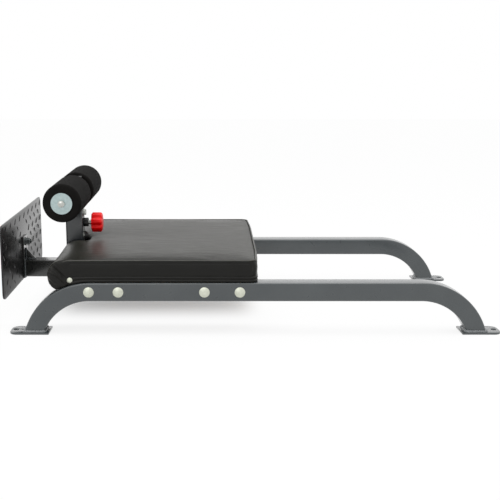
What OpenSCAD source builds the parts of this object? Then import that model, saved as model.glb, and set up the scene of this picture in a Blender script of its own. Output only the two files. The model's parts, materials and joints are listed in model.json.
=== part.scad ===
// Floor glute ham developer: two bent side rails, a centre spine with a tread plate, an
// adjustable ankle roller post and a padded knee board.
// +X runs along the rails to the hand end, the tread plate is at -X, +Y is the far side.
// The origin is on the floor, midway between the four anchor holes.

/* [Frame tube] */
// Side of the square frame tube
tube_w = 50; // [44:1:56]
// Wall of the frame tube
tube_wall = 2.5; // [2:0.25:3.5]
// Outer corner radius of the frame tube
tube_corner_r = 5; // [4:0.5:7]

/* [Side rails] */
// Distance between the middles of the two rails
rail_spacing = 600; // [570:5:640]
// Length of the straight part of a rail
rail_straight = 880; // [820:4:940]
// Height of the rails' top face
rail_top_z = 139; // [132:1:150]
// Bend radius of a rail at the middle of the tube
bend_r = 158; // [140:2:176]

/* [Anchor plates] */
// Thickness of an anchor plate
anchor_t = 5; // [3:0.5:8]
// How far a plate stands out past each side of the tube
anchor_lip = 8; // [4:1:14]
// How far a plate runs inwards past the foot of the tube
anchor_heel = 13; // [6:1:20]
// How far a plate runs outwards past the foot of the tube
anchor_toe = 40; // [36:1:56]
// Radius of the plate's outer corners
anchor_corner_r = 20; // [8:1:26]
// Diameter of the floor bolt hole
anchor_hole_d = 14; // [10:1:16]
// Distance from the hole to the end of the plate
anchor_hole_edge = 14; // [12:1:20]

/* [Cross members] */
// Middle of the front cross member
front_cross_x = -403.5; // [-410:0.5:-395]
// Middle of the rear cross member
rear_cross_x = -89; // [-110:1:-85]
// Distance between the two front bolts of a rail
front_bolt_pitch = 78; // [76:1:84]
// Distance between the two rear bolts of a rail
rear_bolt_pitch = 94; // [80:1:100]
// Thickness of the flange at the end of a cross tube
flange_t = 5; // [4:0.5:8]
// How far a flange runs past its outer bolt
flange_edge = 16; // [14:1:20]
// How far a flange stays below and above the rail's edges
flange_inset = 3; // [2:0.5:6]

/* [Frame bolts] */
// Diameter of a frame bolt
bolt_d = 12; // [10:1:12]
// Room round a bolt in its hole
bolt_gap = 0.3; // [0.1:0.05:0.5]
// Diameter of the domed bolt head
dome_d = 28; // [24:1:32]
// Height of the domed bolt head
dome_h = 4.5; // [3.5:0.5:8]
// Size of a frame nut across its corners
nut_d = 21; // [19:0.5:22]
// Height of a frame nut
nut_h = 10; // [8:0.5:12]
// Diameter of a frame washer
washer_d = 24; // [22:1:26]
// Thickness of a frame washer
washer_t = 2.5; // [1.5:0.5:3]

/* [Spine] */
// How far the spine's top face lies below the rails' top face
spine_drop = 4; // [1:0.5:8]
// Outer face of the plate that closes the spine at the tread end
spine_face_x = -676; // [-700:1:-668]
// Inner end of the spine under the knee board
spine_rear_x = -40; // [-50:1:-30]
// Thickness of the spine's end plate
end_plate_t = 5; // [4:0.5:8]
// How far the end plate rises above the spine
end_plate_rise = 70; // [64:1:90]
// Length of the gusset along the spine
gusset_len = 30; // [20:1:40]
// Height of the gusset above the spine
gusset_h = 34; // [24:1:38]
// Thickness of the gusset
gusset_t = 5; // [4:0.5:8]
// How far the end plate runs below the spine
end_plate_drop = 4; // [2:0.5:8]
// Thickness of the plug's flange at the hidden end of the spine
end_cap_t = 4; // [2:0.5:6]
// Length of the plug inside the spine
end_cap_plug = 16; // [10:1:20]

/* [Tread plate] */
// Width of the tread plate
tread_w = 560; // [480:5:600]
// Height of the tread plate
tread_h = 203; // [180:1:230]
// Height of the tread plate's lower edge
tread_low_z = 79; // [60:1:84]
// Thickness of the tread plate
tread_t = 5; // [4:0.5:8]
// Corner radius of the tread plate
tread_corner_r = 18; // [8:1:30]
// Height of the tread bolt above the spine
tread_bolt_rise = 53; // [50:0.5:55]

/* [Roller post] */
// Middle of the post
post_x = -521; // [-526:1:-519]
// Height of the sleeve above the spine
sleeve_h = 155; // [150:1:165]
// Side of the sliding inner post
inner_w = 40; // [38:0.5:41]
// Wall of the inner post
inner_wall = 2; // [1.5:0.25:3]
// Room round the inner post in its bushings
slide_gap = 0.3; // [0.1:0.05:0.5]
// How far the post can be lowered from rest
travel_down = 25; // [0:25:25]
// How far the post can be raised from rest
travel_up = 50; // [25:25:50]
// Distance between two adjusting holes
hole_pitch = 25; // [25:25:25]
// Height of the axle above the spine at rest
axle_rise = 202; // [198:1:210]
// How far the post runs on above the axle
post_over_axle = 44; // [30:1:46]
// Length of the upper bushing
upper_bushing_len = 28; // [20:1:30]
// Length of the lower bushing
lower_bushing_len = 33; // [20:1:36]
// How far below the sleeve's top the lower bushing ends
lower_bushing_drop = 62; // [60:1:66]
// Thickness of the upper bushing's flange
bushing_flange_t = 3; // [2:0.5:5]
// Height of the post cap's flange
cap_flange_t = 3; // [2:0.5:5]
// Length of the post cap's plug
cap_plug = 14; // [8:1:16]
// Height of the inner post's end above the spine at its lowest setting
post_floor = 2; // [1:0.5:6]

/* [Ankle rollers] */
// Diameter of a foam roller
foam_d = 106; // [90:1:112]
// Length of a foam roller
foam_len = 205; // [170:1:220]
// Distance from the middle of the post to a foam roller
foam_start = 27.8; // [27.5:0.1:32]
// Radius of the foam's rounded ends
foam_edge_r = 8; // [4:1:14]
// Diameter of the roller axle
axle_d = 16; // [14:1:18]
// Wall of the plastic tube that lines the foam
liner_wall = 4; // [2:0.5:6]
// Wall of the spacers between the post and the rollers
collar_wall = 5; // [3:0.5:6]
// Running room round the axle
run_gap = 0.08; // [0.02:0.01:0.1]
// Diameter of the end washer
end_washer_d = 58; // [40:1:70]
// Thickness of the end washer
end_washer_t = 3; // [2:0.5:5]
// Diameter of the end bolt
end_bolt_d = 8; // [6:1:9]
// Size of the end bolt's head across its corners
end_head_d = 20; // [16:1:24]
// Height of the end bolt's head
end_head_h = 7; // [5:0.5:9]
// Length of the end bolt's shank
end_bolt_len = 24; // [18:1:30]

/* [Lock pin and knob] */
// Height of the lock pin above the spine
pin_rise = 111; // [109:0.5:113]
// Diameter of the pin's tip
pin_tip_d = 10; // [8:0.5:11]
// Diameter of the pin's shaft
pin_shaft_d = 12; // [11:0.5:12]
// Diameter of the collar on the pin
pin_collar_d = 16; // [15.5:0.5:16]
// Thickness of the collar on the pin
pin_collar_t = 1.5; // [1:0.25:2]
// Room round the tip in an adjusting hole
pin_hole_gap = 0.5; // [0.2:0.1:1]
// Distance from the parked tip to the inner post
pin_park_gap = 0.3; // [0.2:0.1:0.5]
// How far the pin moves in from where it is parked
pin_travel_in = 5; // [3:0.5:5]
// How far the pin can be pulled out from where it is parked
pin_travel_out = 2; // [1:0.5:2]
// Outer diameter of the pin housing
housing_d = 26; // [22:1:28]
// Thickness of the housing's end wall
housing_wall = 2; // [1.5:0.5:3]
// Room round the collar inside the housing
housing_gap = 0.6; // [0.4:0.1:1]
// Diameter of the spring wire
spring_wire_d = 1; // [0.8:0.1:1.2]
// Number of turns of the spring
spring_turns = 4; // [3:1:4]
// Room left for the spring when the pin is pulled right out
spring_room = 1; // [0.5:0.25:2]
// Distance from the housing to the parked knob
knob_stand_off = 6; // [5.5:0.5:8]
// Length of the knob along the pin
knob_len = 36; // [28:1:40]
// Largest diameter of the knob
knob_d = 59; // [50:1:62]
// Number of lobes on the knob
knob_lobes = 7; // [5:1:9]
// Radius of one lobe
knob_lobe_r = 9; // [7:0.5:11]
// Diameter of the knob's hub
knob_hub_d = 26; // [22:1:32]
// Length of the knob's hub
knob_hub_len = 3; // [2:1:8]
// How far the knob's ends are bevelled towards its middle line
knob_bevel = 7; // [4:0.5:9]
// Length of each bevel along the knob
knob_bevel_len = 5; // [3:0.5:8]
// Wall of the metal insert in the knob
insert_wall = 2; // [1.5:0.25:3]
// Length of the metal insert in the knob
insert_len = 22; // [18:1:24]

/* [Guide bolts] */
// Depth of the upper guide bolt below the sleeve's top
guide_upper_drop = 14; // [14:0.5:18]
// Depth of the lower guide bolt below the sleeve's top
guide_lower_drop = 83; // [76:0.5:86]
// Diameter of a guide bolt
guide_d = 8; // [6:1:10]
// Diameter of a guide bolt's washer
guide_washer_d = 27; // [20:1:27]
// Thickness of a guide bolt's washer
guide_washer_t = 2; // [1:0.5:3]
// Height of a guide bolt's head
guide_head_h = 6; // [4:0.5:8]
// Height of the dome cap over the lower guide bolt
guide_cap_h = 12; // [11:0.5:14]

/* [Knee pad] */
// Outer end of the pad at the hand end
pad_end_x = 8; // [-20:1:14]
// Tip of the pad's rounded nose
pad_nose_x = -552; // [-556:1:-548]
// How far the pad's sides lie inside the rails' outer faces
pad_inset = 5; // [0:1:20]
// Thickness of the plywood board
board_t = 12; // [9:1:18]
// Thickness of the foam over the board
pad_foam_t = 51; // [30:1:60]
// How much higher the middle of the pad is than its edge
pad_crown = 4; // [0:0.5:6]
// Radius of the pad's upper edge
pad_edge_r = 15; // [8:1:20]
// Radius of the pad's corners at the hand end, seen from above
pad_corner_r = 20; // [16:2:44]
// Radius of the pad's corners at the nose, seen from above
nose_corner_r = 12; // [4:1:16]
// Distance from the nose's tip to the start of its curve
nose_depth = 40; // [34:1:44]
// Distance from the start of the nose's curve to its lower edge
nose_under = 14; // [4:1:17]
// Height of the nose's tip above the rails
nose_tip_rise = 16; // [12:1:28]
// How far the pad's sides are drawn in
pad_draw = 2.5; // [0:0.5:4]
// Thickness of the cover and foam round the board's edge
pad_skirt = 5; // [4:0.5:10]
// Room between the pad and what it touches
soft_gap = 0.3; // [0.2:0.05:0.5]
// Room between the post and the pad's notch
notch_room = 6; // [4:0.5:10]
// Room between the post and the inner end of the notch
notch_depth_room = 18; // [18:0.5:24]
// Distance from the nose's tip to the board
board_setback = 52; // [46:1:56]
// Distance from the nose's tip to the side screws
side_screw_setback = 60; // [60:1:70]
// Diameter of a side screw's head
side_screw_d = 14.5; // [8:0.5:14.5]
// Height of a side screw's head
side_screw_h = 3; // [2:0.5:5]
// Height of the side screws above the middle of the board
side_screw_lift = 0.5; // [0:0.25:1]
// Diameter of a side screw's shank
side_shank_d = 4; // [3:0.5:5]
// Length of a side screw's shank
side_shank_len = 24; // [16:1:30]
// Diameter of a board bolt
board_bolt_d = 8; // [6:1:10]
// Height of a board bolt's head
board_head_h = 5; // [4:0.5:7]
// Wall of a tee nut in the board
tee_wall = 2; // [1.5:0.25:3]
// Wood left out round the cushion's notch
notch_wall = 4; // [3:0.5:8]
// Distance from the spine to the board bolts
board_bolt_y = 170; // [60:5:220]

/* [Hidden] */

$fn = 64;
// Overshoot of a cut past the face it opens
cut = 1;
// Room between a bolt and the thread of its nut
thread_gap = 0.05;
// Room between a fixed shaft and its bore
bore_gap = 0.1;
// Room between a plug and the tube round it
plug_gap = 0.2;
// Room between faces that slide or turn past each other
face_gap = 0.3;

slate = [0.35, 0.37, 0.39];
zinc = [0.82, 0.83, 0.80];
pale_zinc = [0.75, 0.81, 0.81];
dark_plastic = [0.10, 0.10, 0.10];
foam_black = [0.15, 0.14, 0.13];
vinyl_black = [0.16, 0.16, 0.15];
plywood = [0.72, 0.58, 0.40];
knob_red = [0.78, 0.06, 0.08];

// Side rail
rail_mid_z = rail_top_z - tube_w / 2;
rail_side_y = rail_spacing / 2 - tube_w / 2;
bend_mid_x = rail_straight / 2;
bend_mid_z = rail_mid_z - bend_r;
bend_out_r = bend_r + tube_w / 2;
bend_in_r = bend_r - tube_w / 2;
foot_out_x = bend_mid_x + sqrt(pow(bend_out_r, 2) - pow(anchor_t - bend_mid_z, 2));
foot_in_x = bend_mid_x + sqrt(pow(bend_in_r, 2) - pow(anchor_t - bend_mid_z, 2));

// Anchor plates
anchor_w = tube_w + 2 * anchor_lip;
anchor_hole_x = foot_out_x + anchor_toe - anchor_hole_edge;

// Spine
spine_top_z = rail_top_z - spine_drop;
spine_low_z = spine_top_z - tube_w;
spine_x = spine_face_x + end_plate_t;
tread_bolt_z = spine_top_z + tread_bolt_rise;

// Post
sleeve_top_z = spine_top_z + sleeve_h;
sleeve_face_x = post_x + tube_w / 2;
sleeve_in_w = tube_w - 2 * tube_wall;
inner_face_x = post_x + inner_w / 2;
axle_z = spine_top_z + axle_rise;
post_bottom_z = spine_top_z + travel_down + post_floor;
post_top_z = axle_z + post_over_axle;
pin_z = spine_top_z + pin_rise;
bushing_out_w = sleeve_in_w - 2 * bore_gap;
bushing_in_w = inner_w + 2 * slide_gap;
guide_upper_z = sleeve_top_z - guide_upper_drop;
guide_lower_z = sleeve_top_z - guide_lower_drop;

// Rollers
foam_end = foam_start + foam_len;
liner_in_r = axle_d / 2 + run_gap;
liner_out_r = axle_d / 2 + liner_wall;
end_washer_y = foam_end + face_gap;

// Lock pin
pin_tip_x = inner_face_x + pin_park_gap;
cavity_r = pin_collar_d / 2 + housing_gap;
pin_collar_x = sleeve_face_x - tube_wall + face_gap + pin_travel_in + housing_gap + bore_gap;
spring_x0 = pin_collar_x + pin_collar_t + bore_gap;
spring_pressed = spring_turns * spring_wire_d + spring_room;
housing_end_x = pin_collar_x + pin_collar_t + pin_travel_out + spring_pressed + housing_wall;
spring_x1 = housing_end_x - housing_wall - bore_gap;
spring_r = (pin_shaft_d / 2 + cavity_r) / 2;
knob_x = housing_end_x + knob_stand_off;
shaft_bore_r = pin_shaft_d / 2 + run_gap;
insert_r = pin_shaft_d / 2 + insert_wall;

// Knee pad
pad_w = rail_spacing + tube_w - 2 * pad_inset;
board_low_z = rail_top_z;
board_top_z = board_low_z + board_t;
pad_top_z = board_top_z + pad_foam_t;
pad_low_z = rail_top_z + soft_gap;
nose_mid_x = pad_nose_x + nose_depth;
nose_tip_z = rail_top_z + nose_tip_rise;
nose_low_x = nose_mid_x - nose_under;
nose_chord = (-bend_mid_x - nose_mid_x) / 3;
under_r = bend_out_r + soft_gap + pow(1.15 * nose_chord, 2) / (8 * bend_out_r);
notch_x = sleeve_face_x + notch_depth_room;
notch_w = tube_w + 2 * notch_room;
board_x0 = pad_nose_x + board_setback;
board_x1 = pad_end_x - pad_skirt;
board_w = pad_w - 2 * (pad_skirt + pad_draw);
side_screw_x = pad_nose_x + side_screw_setback;
side_screw_z = (board_low_z + board_top_z) / 2 + side_screw_lift;

// Round solid of radius r from a to b along X
module along_x(r, a, b) {
    translate([a, 0, 0]) rotate([0, 90, 0]) cylinder(r = r, h = b - a);
}

// Round solid of radius r from a to b along Y
module along_y(r, a, b) {
    translate([0, a, 0]) rotate([-90, 0, 0]) cylinder(r = r, h = b - a);
}

// Rectangle with round corners, centred on its middle
module round_rect(w, h, r) {
    square([w - 2 * r, h], center = true);
    square([w, h - 2 * r], center = true);
    for (sx = [-1, 1], sy = [-1, 1])
        translate([sx * (w / 2 - r), sy * (h / 2 - r)]) circle(r = r, $fn = 32);
}

// Section of the frame tube
module tube_section() {
    difference() {
        round_rect(tube_w, tube_w, tube_corner_r);
        tube_bore();
    }
}

// Inside of the frame tube
module tube_bore() {
    in_w = tube_w - 2 * tube_wall;
    round_rect(in_w, in_w, tube_corner_r - tube_wall);
}

// Straight square tube from a to b along X
module tube_along_x(a, b) {
    translate([a, 0, 0]) rotate([90, 0, 90]) linear_extrude(height = b - a) tube_section();
}

// Straight square tube from a to b along Y
module tube_along_y(a, b) {
    translate([0, b, 0]) rotate([90, 0, 0]) linear_extrude(height = b - a) tube_section();
}

// Dome of radius r and height h, standing on the floor of its own frame
module dome(r, h) {
    ball_r = (r * r + h * h) / (2 * h);
    rotate_extrude()
        intersection() {
            translate([0, h - ball_r]) circle(r = ball_r, $fn = 128);
            square([r, h]);
        }
}

// Hexagonal prism whose corners lie on a circle of diameter d
module hexagon(d, h) {
    cylinder(d = d, h = h, $fn = 6);
}

// Turns a shape that stands along Z so that it points to side s along Y
module point_y(s) {
    rotate([s > 0 ? -90 : 90, 0, 0]) children();
}

// Middles of the four bolts of one rail
function bolt_places() = [
    for (c = [[front_cross_x, front_bolt_pitch], [rear_cross_x, rear_bolt_pitch]], s = [-1, 1])
        c[0] + s * c[1] / 2
];

// One bent end of a rail, drawn at the hand end
module rail_bend() {
    translate([bend_mid_x, 0, bend_mid_z]) rotate([-90, 0, 0]) rotate([0, 0, -90])
        rotate_extrude(angle = 90, $fn = 128) translate([bend_r, 0]) tube_section();
}

// One side rail: a straight tube with both ends bent down and cut flat on the anchor plates
module side_rail(s) {
    color(slate) translate([0, s * rail_spacing / 2, 0])
        difference() {
            union() {
                translate([0, 0, rail_mid_z]) tube_along_x(-bend_mid_x, bend_mid_x);
                intersection() {
                    union() {
                        rail_bend();
                        mirror([1, 0, 0]) rail_bend();
                    }
                    translate([-foot_out_x - cut, -tube_w, anchor_t])
                        cube([2 * (foot_out_x + cut), 2 * tube_w, rail_top_z]);
                }
            }
            for (x = bolt_places())
                translate([x, 0, rail_mid_z]) along_y(bolt_d / 2 + bolt_gap, -tube_w, tube_w);
        }
}

// Plate under one foot of a rail, with its floor bolt hole
module anchor(end, s) {
    inner_x = foot_in_x - anchor_heel;
    outer_x = foot_out_x + anchor_toe;
    round_x = outer_x - anchor_corner_r;
    flat_w = anchor_w - 2 * anchor_corner_r;
    color(slate) translate([0, s * rail_spacing / 2, 0]) mirror([end < 0 ? 1 : 0, 0, 0])
        difference() {
            union() {
                translate([inner_x, -anchor_w / 2, 0]) cube([round_x - inner_x, anchor_w, anchor_t]);
                translate([inner_x, -flat_w / 2, 0]) cube([outer_x - inner_x, flat_w, anchor_t]);
                for (t = [-1, 1])
                    translate([round_x, t * flat_w / 2, 0]) cylinder(r = anchor_corner_r, h = anchor_t);
            }
            translate([anchor_hole_x, 0, -cut]) cylinder(d = anchor_hole_d, h = anchor_t + 2 * cut);
        }
}

// Half of a cross member: a tube from the spine to the flange of one rail
module cross_tube(x, s) {
    a = tube_w / 2;
    b = rail_side_y - flange_t;
    color(slate) difference() {
        translate([x, 0, rail_mid_z])
            if (s > 0) tube_along_y(a, b); else tube_along_y(-b, -a);
        translate([x, s * board_bolt_y, rail_mid_z - tube_w])
            cylinder(r = board_bolt_d / 2 + bolt_gap, h = 2 * tube_w);
    }
}

// Flange that bolts a cross tube to the inner face of a rail
module flange(x, pitch, s) {
    len = pitch + 2 * flange_edge;
    flange_h = tube_w - 2 * flange_inset;
    y0 = s > 0 ? rail_side_y - flange_t : -rail_side_y;
    color(slate) difference() {
        translate([x - len / 2, y0, rail_mid_z - flange_h / 2]) cube([len, flange_t, flange_h]);
        for (t = [-1, 1])
            translate([x + t * pitch / 2, 0, rail_mid_z])
                along_y(bolt_d / 2 + bolt_gap, y0 - cut, y0 + flange_t + cut);
    }
}

// Four domed bolts through one rail
module frame_bolts(s) {
    out_y = rail_side_y + tube_w;
    in_y = rail_side_y - flange_t - washer_t - nut_h;
    color(zinc) for (x = bolt_places()) translate([x, 0, rail_mid_z]) {
        translate([0, s * out_y, 0]) point_y(s) dome(dome_d / 2, dome_h);
        translate([0, s * in_y, 0]) point_y(s) cylinder(d = bolt_d, h = out_y - in_y);
    }
}

// Washers of one rail's bolts, on the inner face of the flanges
module frame_washers(s) {
    y = rail_side_y - flange_t - washer_t;
    color(zinc) for (x = bolt_places()) translate([x, s * y, rail_mid_z]) point_y(s)
        difference() {
            cylinder(d = washer_d, h = washer_t);
            translate([0, 0, -cut]) cylinder(r = bolt_d / 2 + bolt_gap, h = washer_t + 2 * cut);
        }
}

// Nuts of one rail's bolts
module frame_nuts(s) {
    y = rail_side_y - flange_t - washer_t - nut_h;
    color(zinc) for (x = bolt_places()) translate([x, s * y, rail_mid_z]) point_y(s)
        difference() {
            hexagon(nut_d, nut_h);
            translate([0, 0, -cut]) cylinder(r = bolt_d / 2 + thread_gap, h = nut_h + 2 * cut);
        }
}

// Centre tube that joins the cross members, the post and the tread plate
module spine_tube() {
    color(slate) translate([0, 0, spine_top_z - tube_w / 2]) tube_along_x(spine_x, spine_rear_x);
}

// Plate that closes the spine and carries the tread bolt
module spine_end_plate() {
    low = spine_low_z - end_plate_drop;
    color(slate) difference() {
        translate([spine_face_x, -tube_w / 2, low])
            cube([end_plate_t, tube_w, spine_top_z + end_plate_rise - low]);
        translate([0, 0, tread_bolt_z])
            along_x(bolt_d / 2 + bolt_gap, spine_face_x - cut, spine_x + cut);
    }
}

// Triangular web between the end plate and the spine
module spine_gusset() {
    color(slate) translate([spine_x, gusset_t / 2, spine_top_z]) rotate([90, 0, 0])
        linear_extrude(height = gusset_t) polygon([[0, 0], [gusset_len, 0], [0, gusset_h]]);
}

// Plastic plug in the hidden end of the spine
module spine_end_cap() {
    plug_w = tube_w - 2 * (tube_wall + plug_gap);
    color(dark_plastic) translate([spine_rear_x, 0, spine_top_z - tube_w / 2]) rotate([90, 0, 90]) {
        linear_extrude(height = end_cap_t) round_rect(tube_w, tube_w, tube_corner_r);
        translate([0, 0, -end_cap_plug]) linear_extrude(height = end_cap_plug)
            round_rect(plug_w, plug_w, tube_corner_r - tube_wall);
    }
}

// Footrest plate at the tread end
module tread_plate() {
    color([0.08, 0.08, 0.08]) difference() {
        translate([spine_face_x - tread_t, 0, tread_low_z + tread_h / 2]) rotate([90, 0, 90])
            linear_extrude(height = tread_t) round_rect(tread_w, tread_h, tread_corner_r);
        translate([0, 0, tread_bolt_z])
            along_x(bolt_d / 2 + bolt_gap, spine_face_x - tread_t - cut, spine_face_x + cut);
    }
}

// Bolt that holds the tread plate, with its dome on the outside
module tread_bolt() {
    color(zinc) translate([0, 0, tread_bolt_z]) {
        translate([spine_face_x - tread_t, 0, 0]) rotate([0, -90, 0]) dome(dome_d / 2, dome_h);
        along_x(bolt_d / 2, spine_face_x - tread_t, spine_x + washer_t + nut_h);
    }
}

// Washer on the inner side of the end plate
module tread_washer() {
    color(zinc) translate([spine_x, 0, tread_bolt_z]) rotate([0, 90, 0]) difference() {
        cylinder(d = washer_d, h = washer_t);
        translate([0, 0, -cut]) cylinder(r = bolt_d / 2 + bolt_gap, h = washer_t + 2 * cut);
    }
}

// Cap nut of the tread bolt
module tread_nut() {
    x = spine_x + washer_t;
    color(zinc) translate([x, 0, tread_bolt_z]) rotate([0, 90, 0]) difference() {
        union() {
            hexagon(nut_d, nut_h);
            translate([0, 0, nut_h]) dome(nut_d * 0.4, nut_d * 0.3);
        }
        translate([0, 0, -cut]) cylinder(r = bolt_d / 2 + thread_gap, h = nut_h + cut + face_gap);
    }
}

// Square sleeve that stands on the spine and guides the inner post
module post_sleeve() {
    color(slate) difference() {
        translate([post_x, 0, spine_top_z]) linear_extrude(height = sleeve_h) tube_section();
        translate([0, 0, pin_z]) along_x(cavity_r, post_x, sleeve_face_x + cut);
        for (z = [guide_upper_z, guide_lower_z])
            translate([0, 0, z]) along_x(guide_d / 2 + bore_gap, post_x, sleeve_face_x + cut);
    }
}

// Plastic guide inside the sleeve, from the given height over the given length
module bushing(z, len) {
    translate([post_x, 0, z]) linear_extrude(height = len) difference() {
        round_rect(bushing_out_w, bushing_out_w, tube_corner_r - tube_wall);
        square(bushing_in_w, center = true);
    }
}

// Upper guide, whose flange rests on the sleeve's end
module upper_bushing() {
    color(dark_plastic) {
        bushing(sleeve_top_z - upper_bushing_len, upper_bushing_len);
        translate([post_x, 0, sleeve_top_z]) linear_extrude(height = bushing_flange_t) difference() {
            round_rect(tube_w + 2, tube_w + 2, 4);
            square(bushing_in_w, center = true);
        }
    }
}

// Lower guide, held by the lower guide bolt
module lower_bushing() {
    z = sleeve_top_z - lower_bushing_drop - lower_bushing_len;
    color(dark_plastic) bushing(z, lower_bushing_len);
}

// Bolt through the sleeve's wall that steadies a bushing
module guide_bolt(z) {
    color(zinc) translate([0, 0, z]) {
        along_x(guide_d / 2, sleeve_face_x - tube_wall, sleeve_face_x);
        along_x(guide_washer_d / 2, sleeve_face_x, sleeve_face_x + guide_washer_t);
        translate([sleeve_face_x + guide_washer_t, 0, 0]) rotate([0, 90, 0])
            hexagon(guide_d * 2, guide_head_h);
    }
}

// Black dome cap over the lower guide bolt
module guide_bolt_cap() {
    x = sleeve_face_x + guide_washer_t;
    color(dark_plastic) translate([x, 0, guide_lower_z]) rotate([0, 90, 0]) difference() {
        dome(guide_washer_d / 2, guide_cap_h);
        translate([0, 0, -cut]) cylinder(r = guide_d + plug_gap, h = guide_head_h + cut + face_gap);
    }
}

// Inner post with its row of adjusting holes
module inner_post() {
    in_w = inner_w - 2 * inner_wall;
    len = post_top_z - cap_flange_t - post_bottom_z;
    steps = [-travel_down / hole_pitch : travel_up / hole_pitch];
    color(slate) difference() {
        translate([post_x, 0, post_bottom_z]) linear_extrude(height = len) difference() {
            round_rect(inner_w, inner_w, inner_wall + 1);
            square(in_w, center = true);
        }
        for (k = steps)
            translate([0, 0, pin_z - k * hole_pitch])
                along_x(pin_tip_d / 2 + pin_hole_gap, post_x, inner_face_x + cut);
        translate([post_x, 0, axle_z]) along_y(axle_d / 2 + bore_gap, -inner_w, inner_w);
    }
}

// Plastic cap in the top of the inner post
module post_cap() {
    plug_w = inner_w - 2 * (inner_wall + plug_gap);
    color(dark_plastic) translate([post_x, 0, post_top_z - cap_flange_t]) {
        linear_extrude(height = cap_flange_t) round_rect(inner_w, inner_w, inner_wall + 1);
        translate([0, 0, -cap_plug]) linear_extrude(height = cap_plug) square(plug_w, center = true);
    }
}

// Axle through the inner post, tapped at both ends for the end bolts
module roller_axle() {
    depth = end_bolt_len + 2;
    color(zinc) translate([post_x, 0, axle_z]) difference() {
        along_y(axle_d / 2, -end_washer_y, end_washer_y);
        for (s = [-1, 1])
            translate([0, s * (end_washer_y + cut), 0]) point_y(-s)
                cylinder(r = end_bolt_d / 2 + bore_gap, h = depth + cut);
    }
}

// Spacer on the axle between the post and a roller
module axle_collar(s) {
    color(zinc) translate([post_x, s * (inner_w / 2), axle_z]) point_y(s) difference() {
        cylinder(r = axle_d / 2 + collar_wall, h = foam_start - inner_w / 2 - face_gap);
        translate([0, 0, -cut]) cylinder(r = axle_d / 2 + bore_gap, h = foam_start);
    }
}

// Plastic tube that carries the foam on the axle
module roller_liner(s) {
    color(dark_plastic) translate([post_x, s * foam_start, axle_z]) point_y(s) difference() {
        cylinder(r = liner_out_r, h = foam_len);
        translate([0, 0, -cut]) cylinder(r = liner_in_r, h = foam_len + 2 * cut);
    }
}

// Foam roller with rounded ends
module foam_roller(s) {
    inner_r = liner_out_r + plug_gap;
    outer_r = foam_d / 2;
    color(foam_black) translate([post_x, s * foam_start, axle_z]) point_y(s)
        rotate_extrude($fn = 96) {
            translate([inner_r, 0]) square([outer_r - foam_edge_r - inner_r, foam_len]);
            translate([inner_r, foam_edge_r])
                square([outer_r - inner_r, foam_len - 2 * foam_edge_r]);
            for (y = [foam_edge_r, foam_len - foam_edge_r])
                translate([outer_r - foam_edge_r, y]) circle(r = foam_edge_r, $fn = 48);
        }
}

// Wide washer that keeps a roller on the axle
module end_washer(s) {
    color(pale_zinc) translate([post_x, s * end_washer_y, axle_z]) point_y(s) difference() {
        cylinder(d = end_washer_d, h = end_washer_t);
        translate([0, 0, -cut]) cylinder(r = end_bolt_d / 2 + bore_gap, h = end_washer_t + 2 * cut);
    }
}

// Bolt in the end of the axle
module end_bolt(s) {
    color(zinc) translate([post_x, s * (end_washer_y + end_washer_t), axle_z]) point_y(s) {
        translate([0, 0, -end_bolt_len]) cylinder(d = end_bolt_d, h = end_bolt_len);
        hexagon(end_head_d, end_head_h);
        translate([0, 0, end_head_h]) dome(end_head_d * 0.42, end_head_h * 0.35);
    }
}

// Round housing of the lock pin, with a cavity for its collar and spring
module pin_housing() {
    color(dark_plastic) translate([0, 0, pin_z]) difference() {
        along_x(housing_d / 2, sleeve_face_x, housing_end_x);
        along_x(cavity_r, sleeve_face_x - cut, housing_end_x - housing_wall);
        along_x(shaft_bore_r, sleeve_face_x, housing_end_x + cut);
    }
}

// Lock pin: a tip for the adjusting holes, a collar for the spring and a shaft for the knob
module lock_pin() {
    color(zinc) translate([0, 0, pin_z]) {
        along_x(pin_tip_d / 2, pin_tip_x, pin_collar_x);
        along_x(pin_collar_d / 2, pin_collar_x, pin_collar_x + pin_collar_t);
        along_x(pin_shaft_d / 2, pin_collar_x, knob_x + insert_len);
    }
}

// Points of one ring of the spring's wire, at turn angle a
function spring_ring(a, x) = [
    for (k = [0 : 5])
        let (w = spring_wire_d / 2, c = cos(60 * k), s = sin(60 * k), r = spring_r + w * c)
            [x + w * s, r * cos(a), r * sin(a)]
];

// Coil spring between the collar and the housing's end wall
module pin_spring() {
    rings = spring_turns * 12;
    x0 = spring_x0 + spring_wire_d / 2;
    x1 = spring_x1 - spring_wire_d / 2;
    points = [
        for (j = [0 : rings]) each spring_ring(30 * j, x0 + (x1 - x0) * j / rings)
    ];
    sides = [
        for (j = [0 : rings - 1], k = [0 : 5])
            let (a = 6 * j + k, b = 6 * j + (k + 1) % 6)
                each [[a, b, b + 6], [a, b + 6, a + 6]]
    ];
    ends = [
        for (k = [1 : 4]) each [[0, k + 1, k], [6 * rings, 6 * rings + k, 6 * rings + k + 1]]
    ];
    color(zinc) translate([0, 0, pin_z]) polyhedron(points, concat(sides, ends), convexity = 8);
}

// Body of the knob: lobes round a core, bevelled at both ends
module knob_body(a, b) {
    lobe_at = knob_d / 2 - knob_lobe_r;
    core_r = lobe_at + knob_lobe_r * 0.55;
    far_r = knob_d / 2 + cut;
    low_r = knob_d / 2 - knob_bevel;
    len = b - a;
    intersection() {
        union() {
            along_x(core_r, a, b);
            for (k = [0 : knob_lobes - 1]) rotate([360 * k / knob_lobes, 0, 0])
                translate([0, 0, lobe_at]) along_x(knob_lobe_r, a, b);
        }
        translate([a, 0, 0]) rotate([0, 90, 0]) rotate_extrude() polygon([
            [0, 0],
            [low_r, 0],
            [far_r, knob_bevel_len],
            [far_r, len - knob_bevel_len],
            [low_r, len],
            [0, len]
        ]);
    }
}

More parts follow.
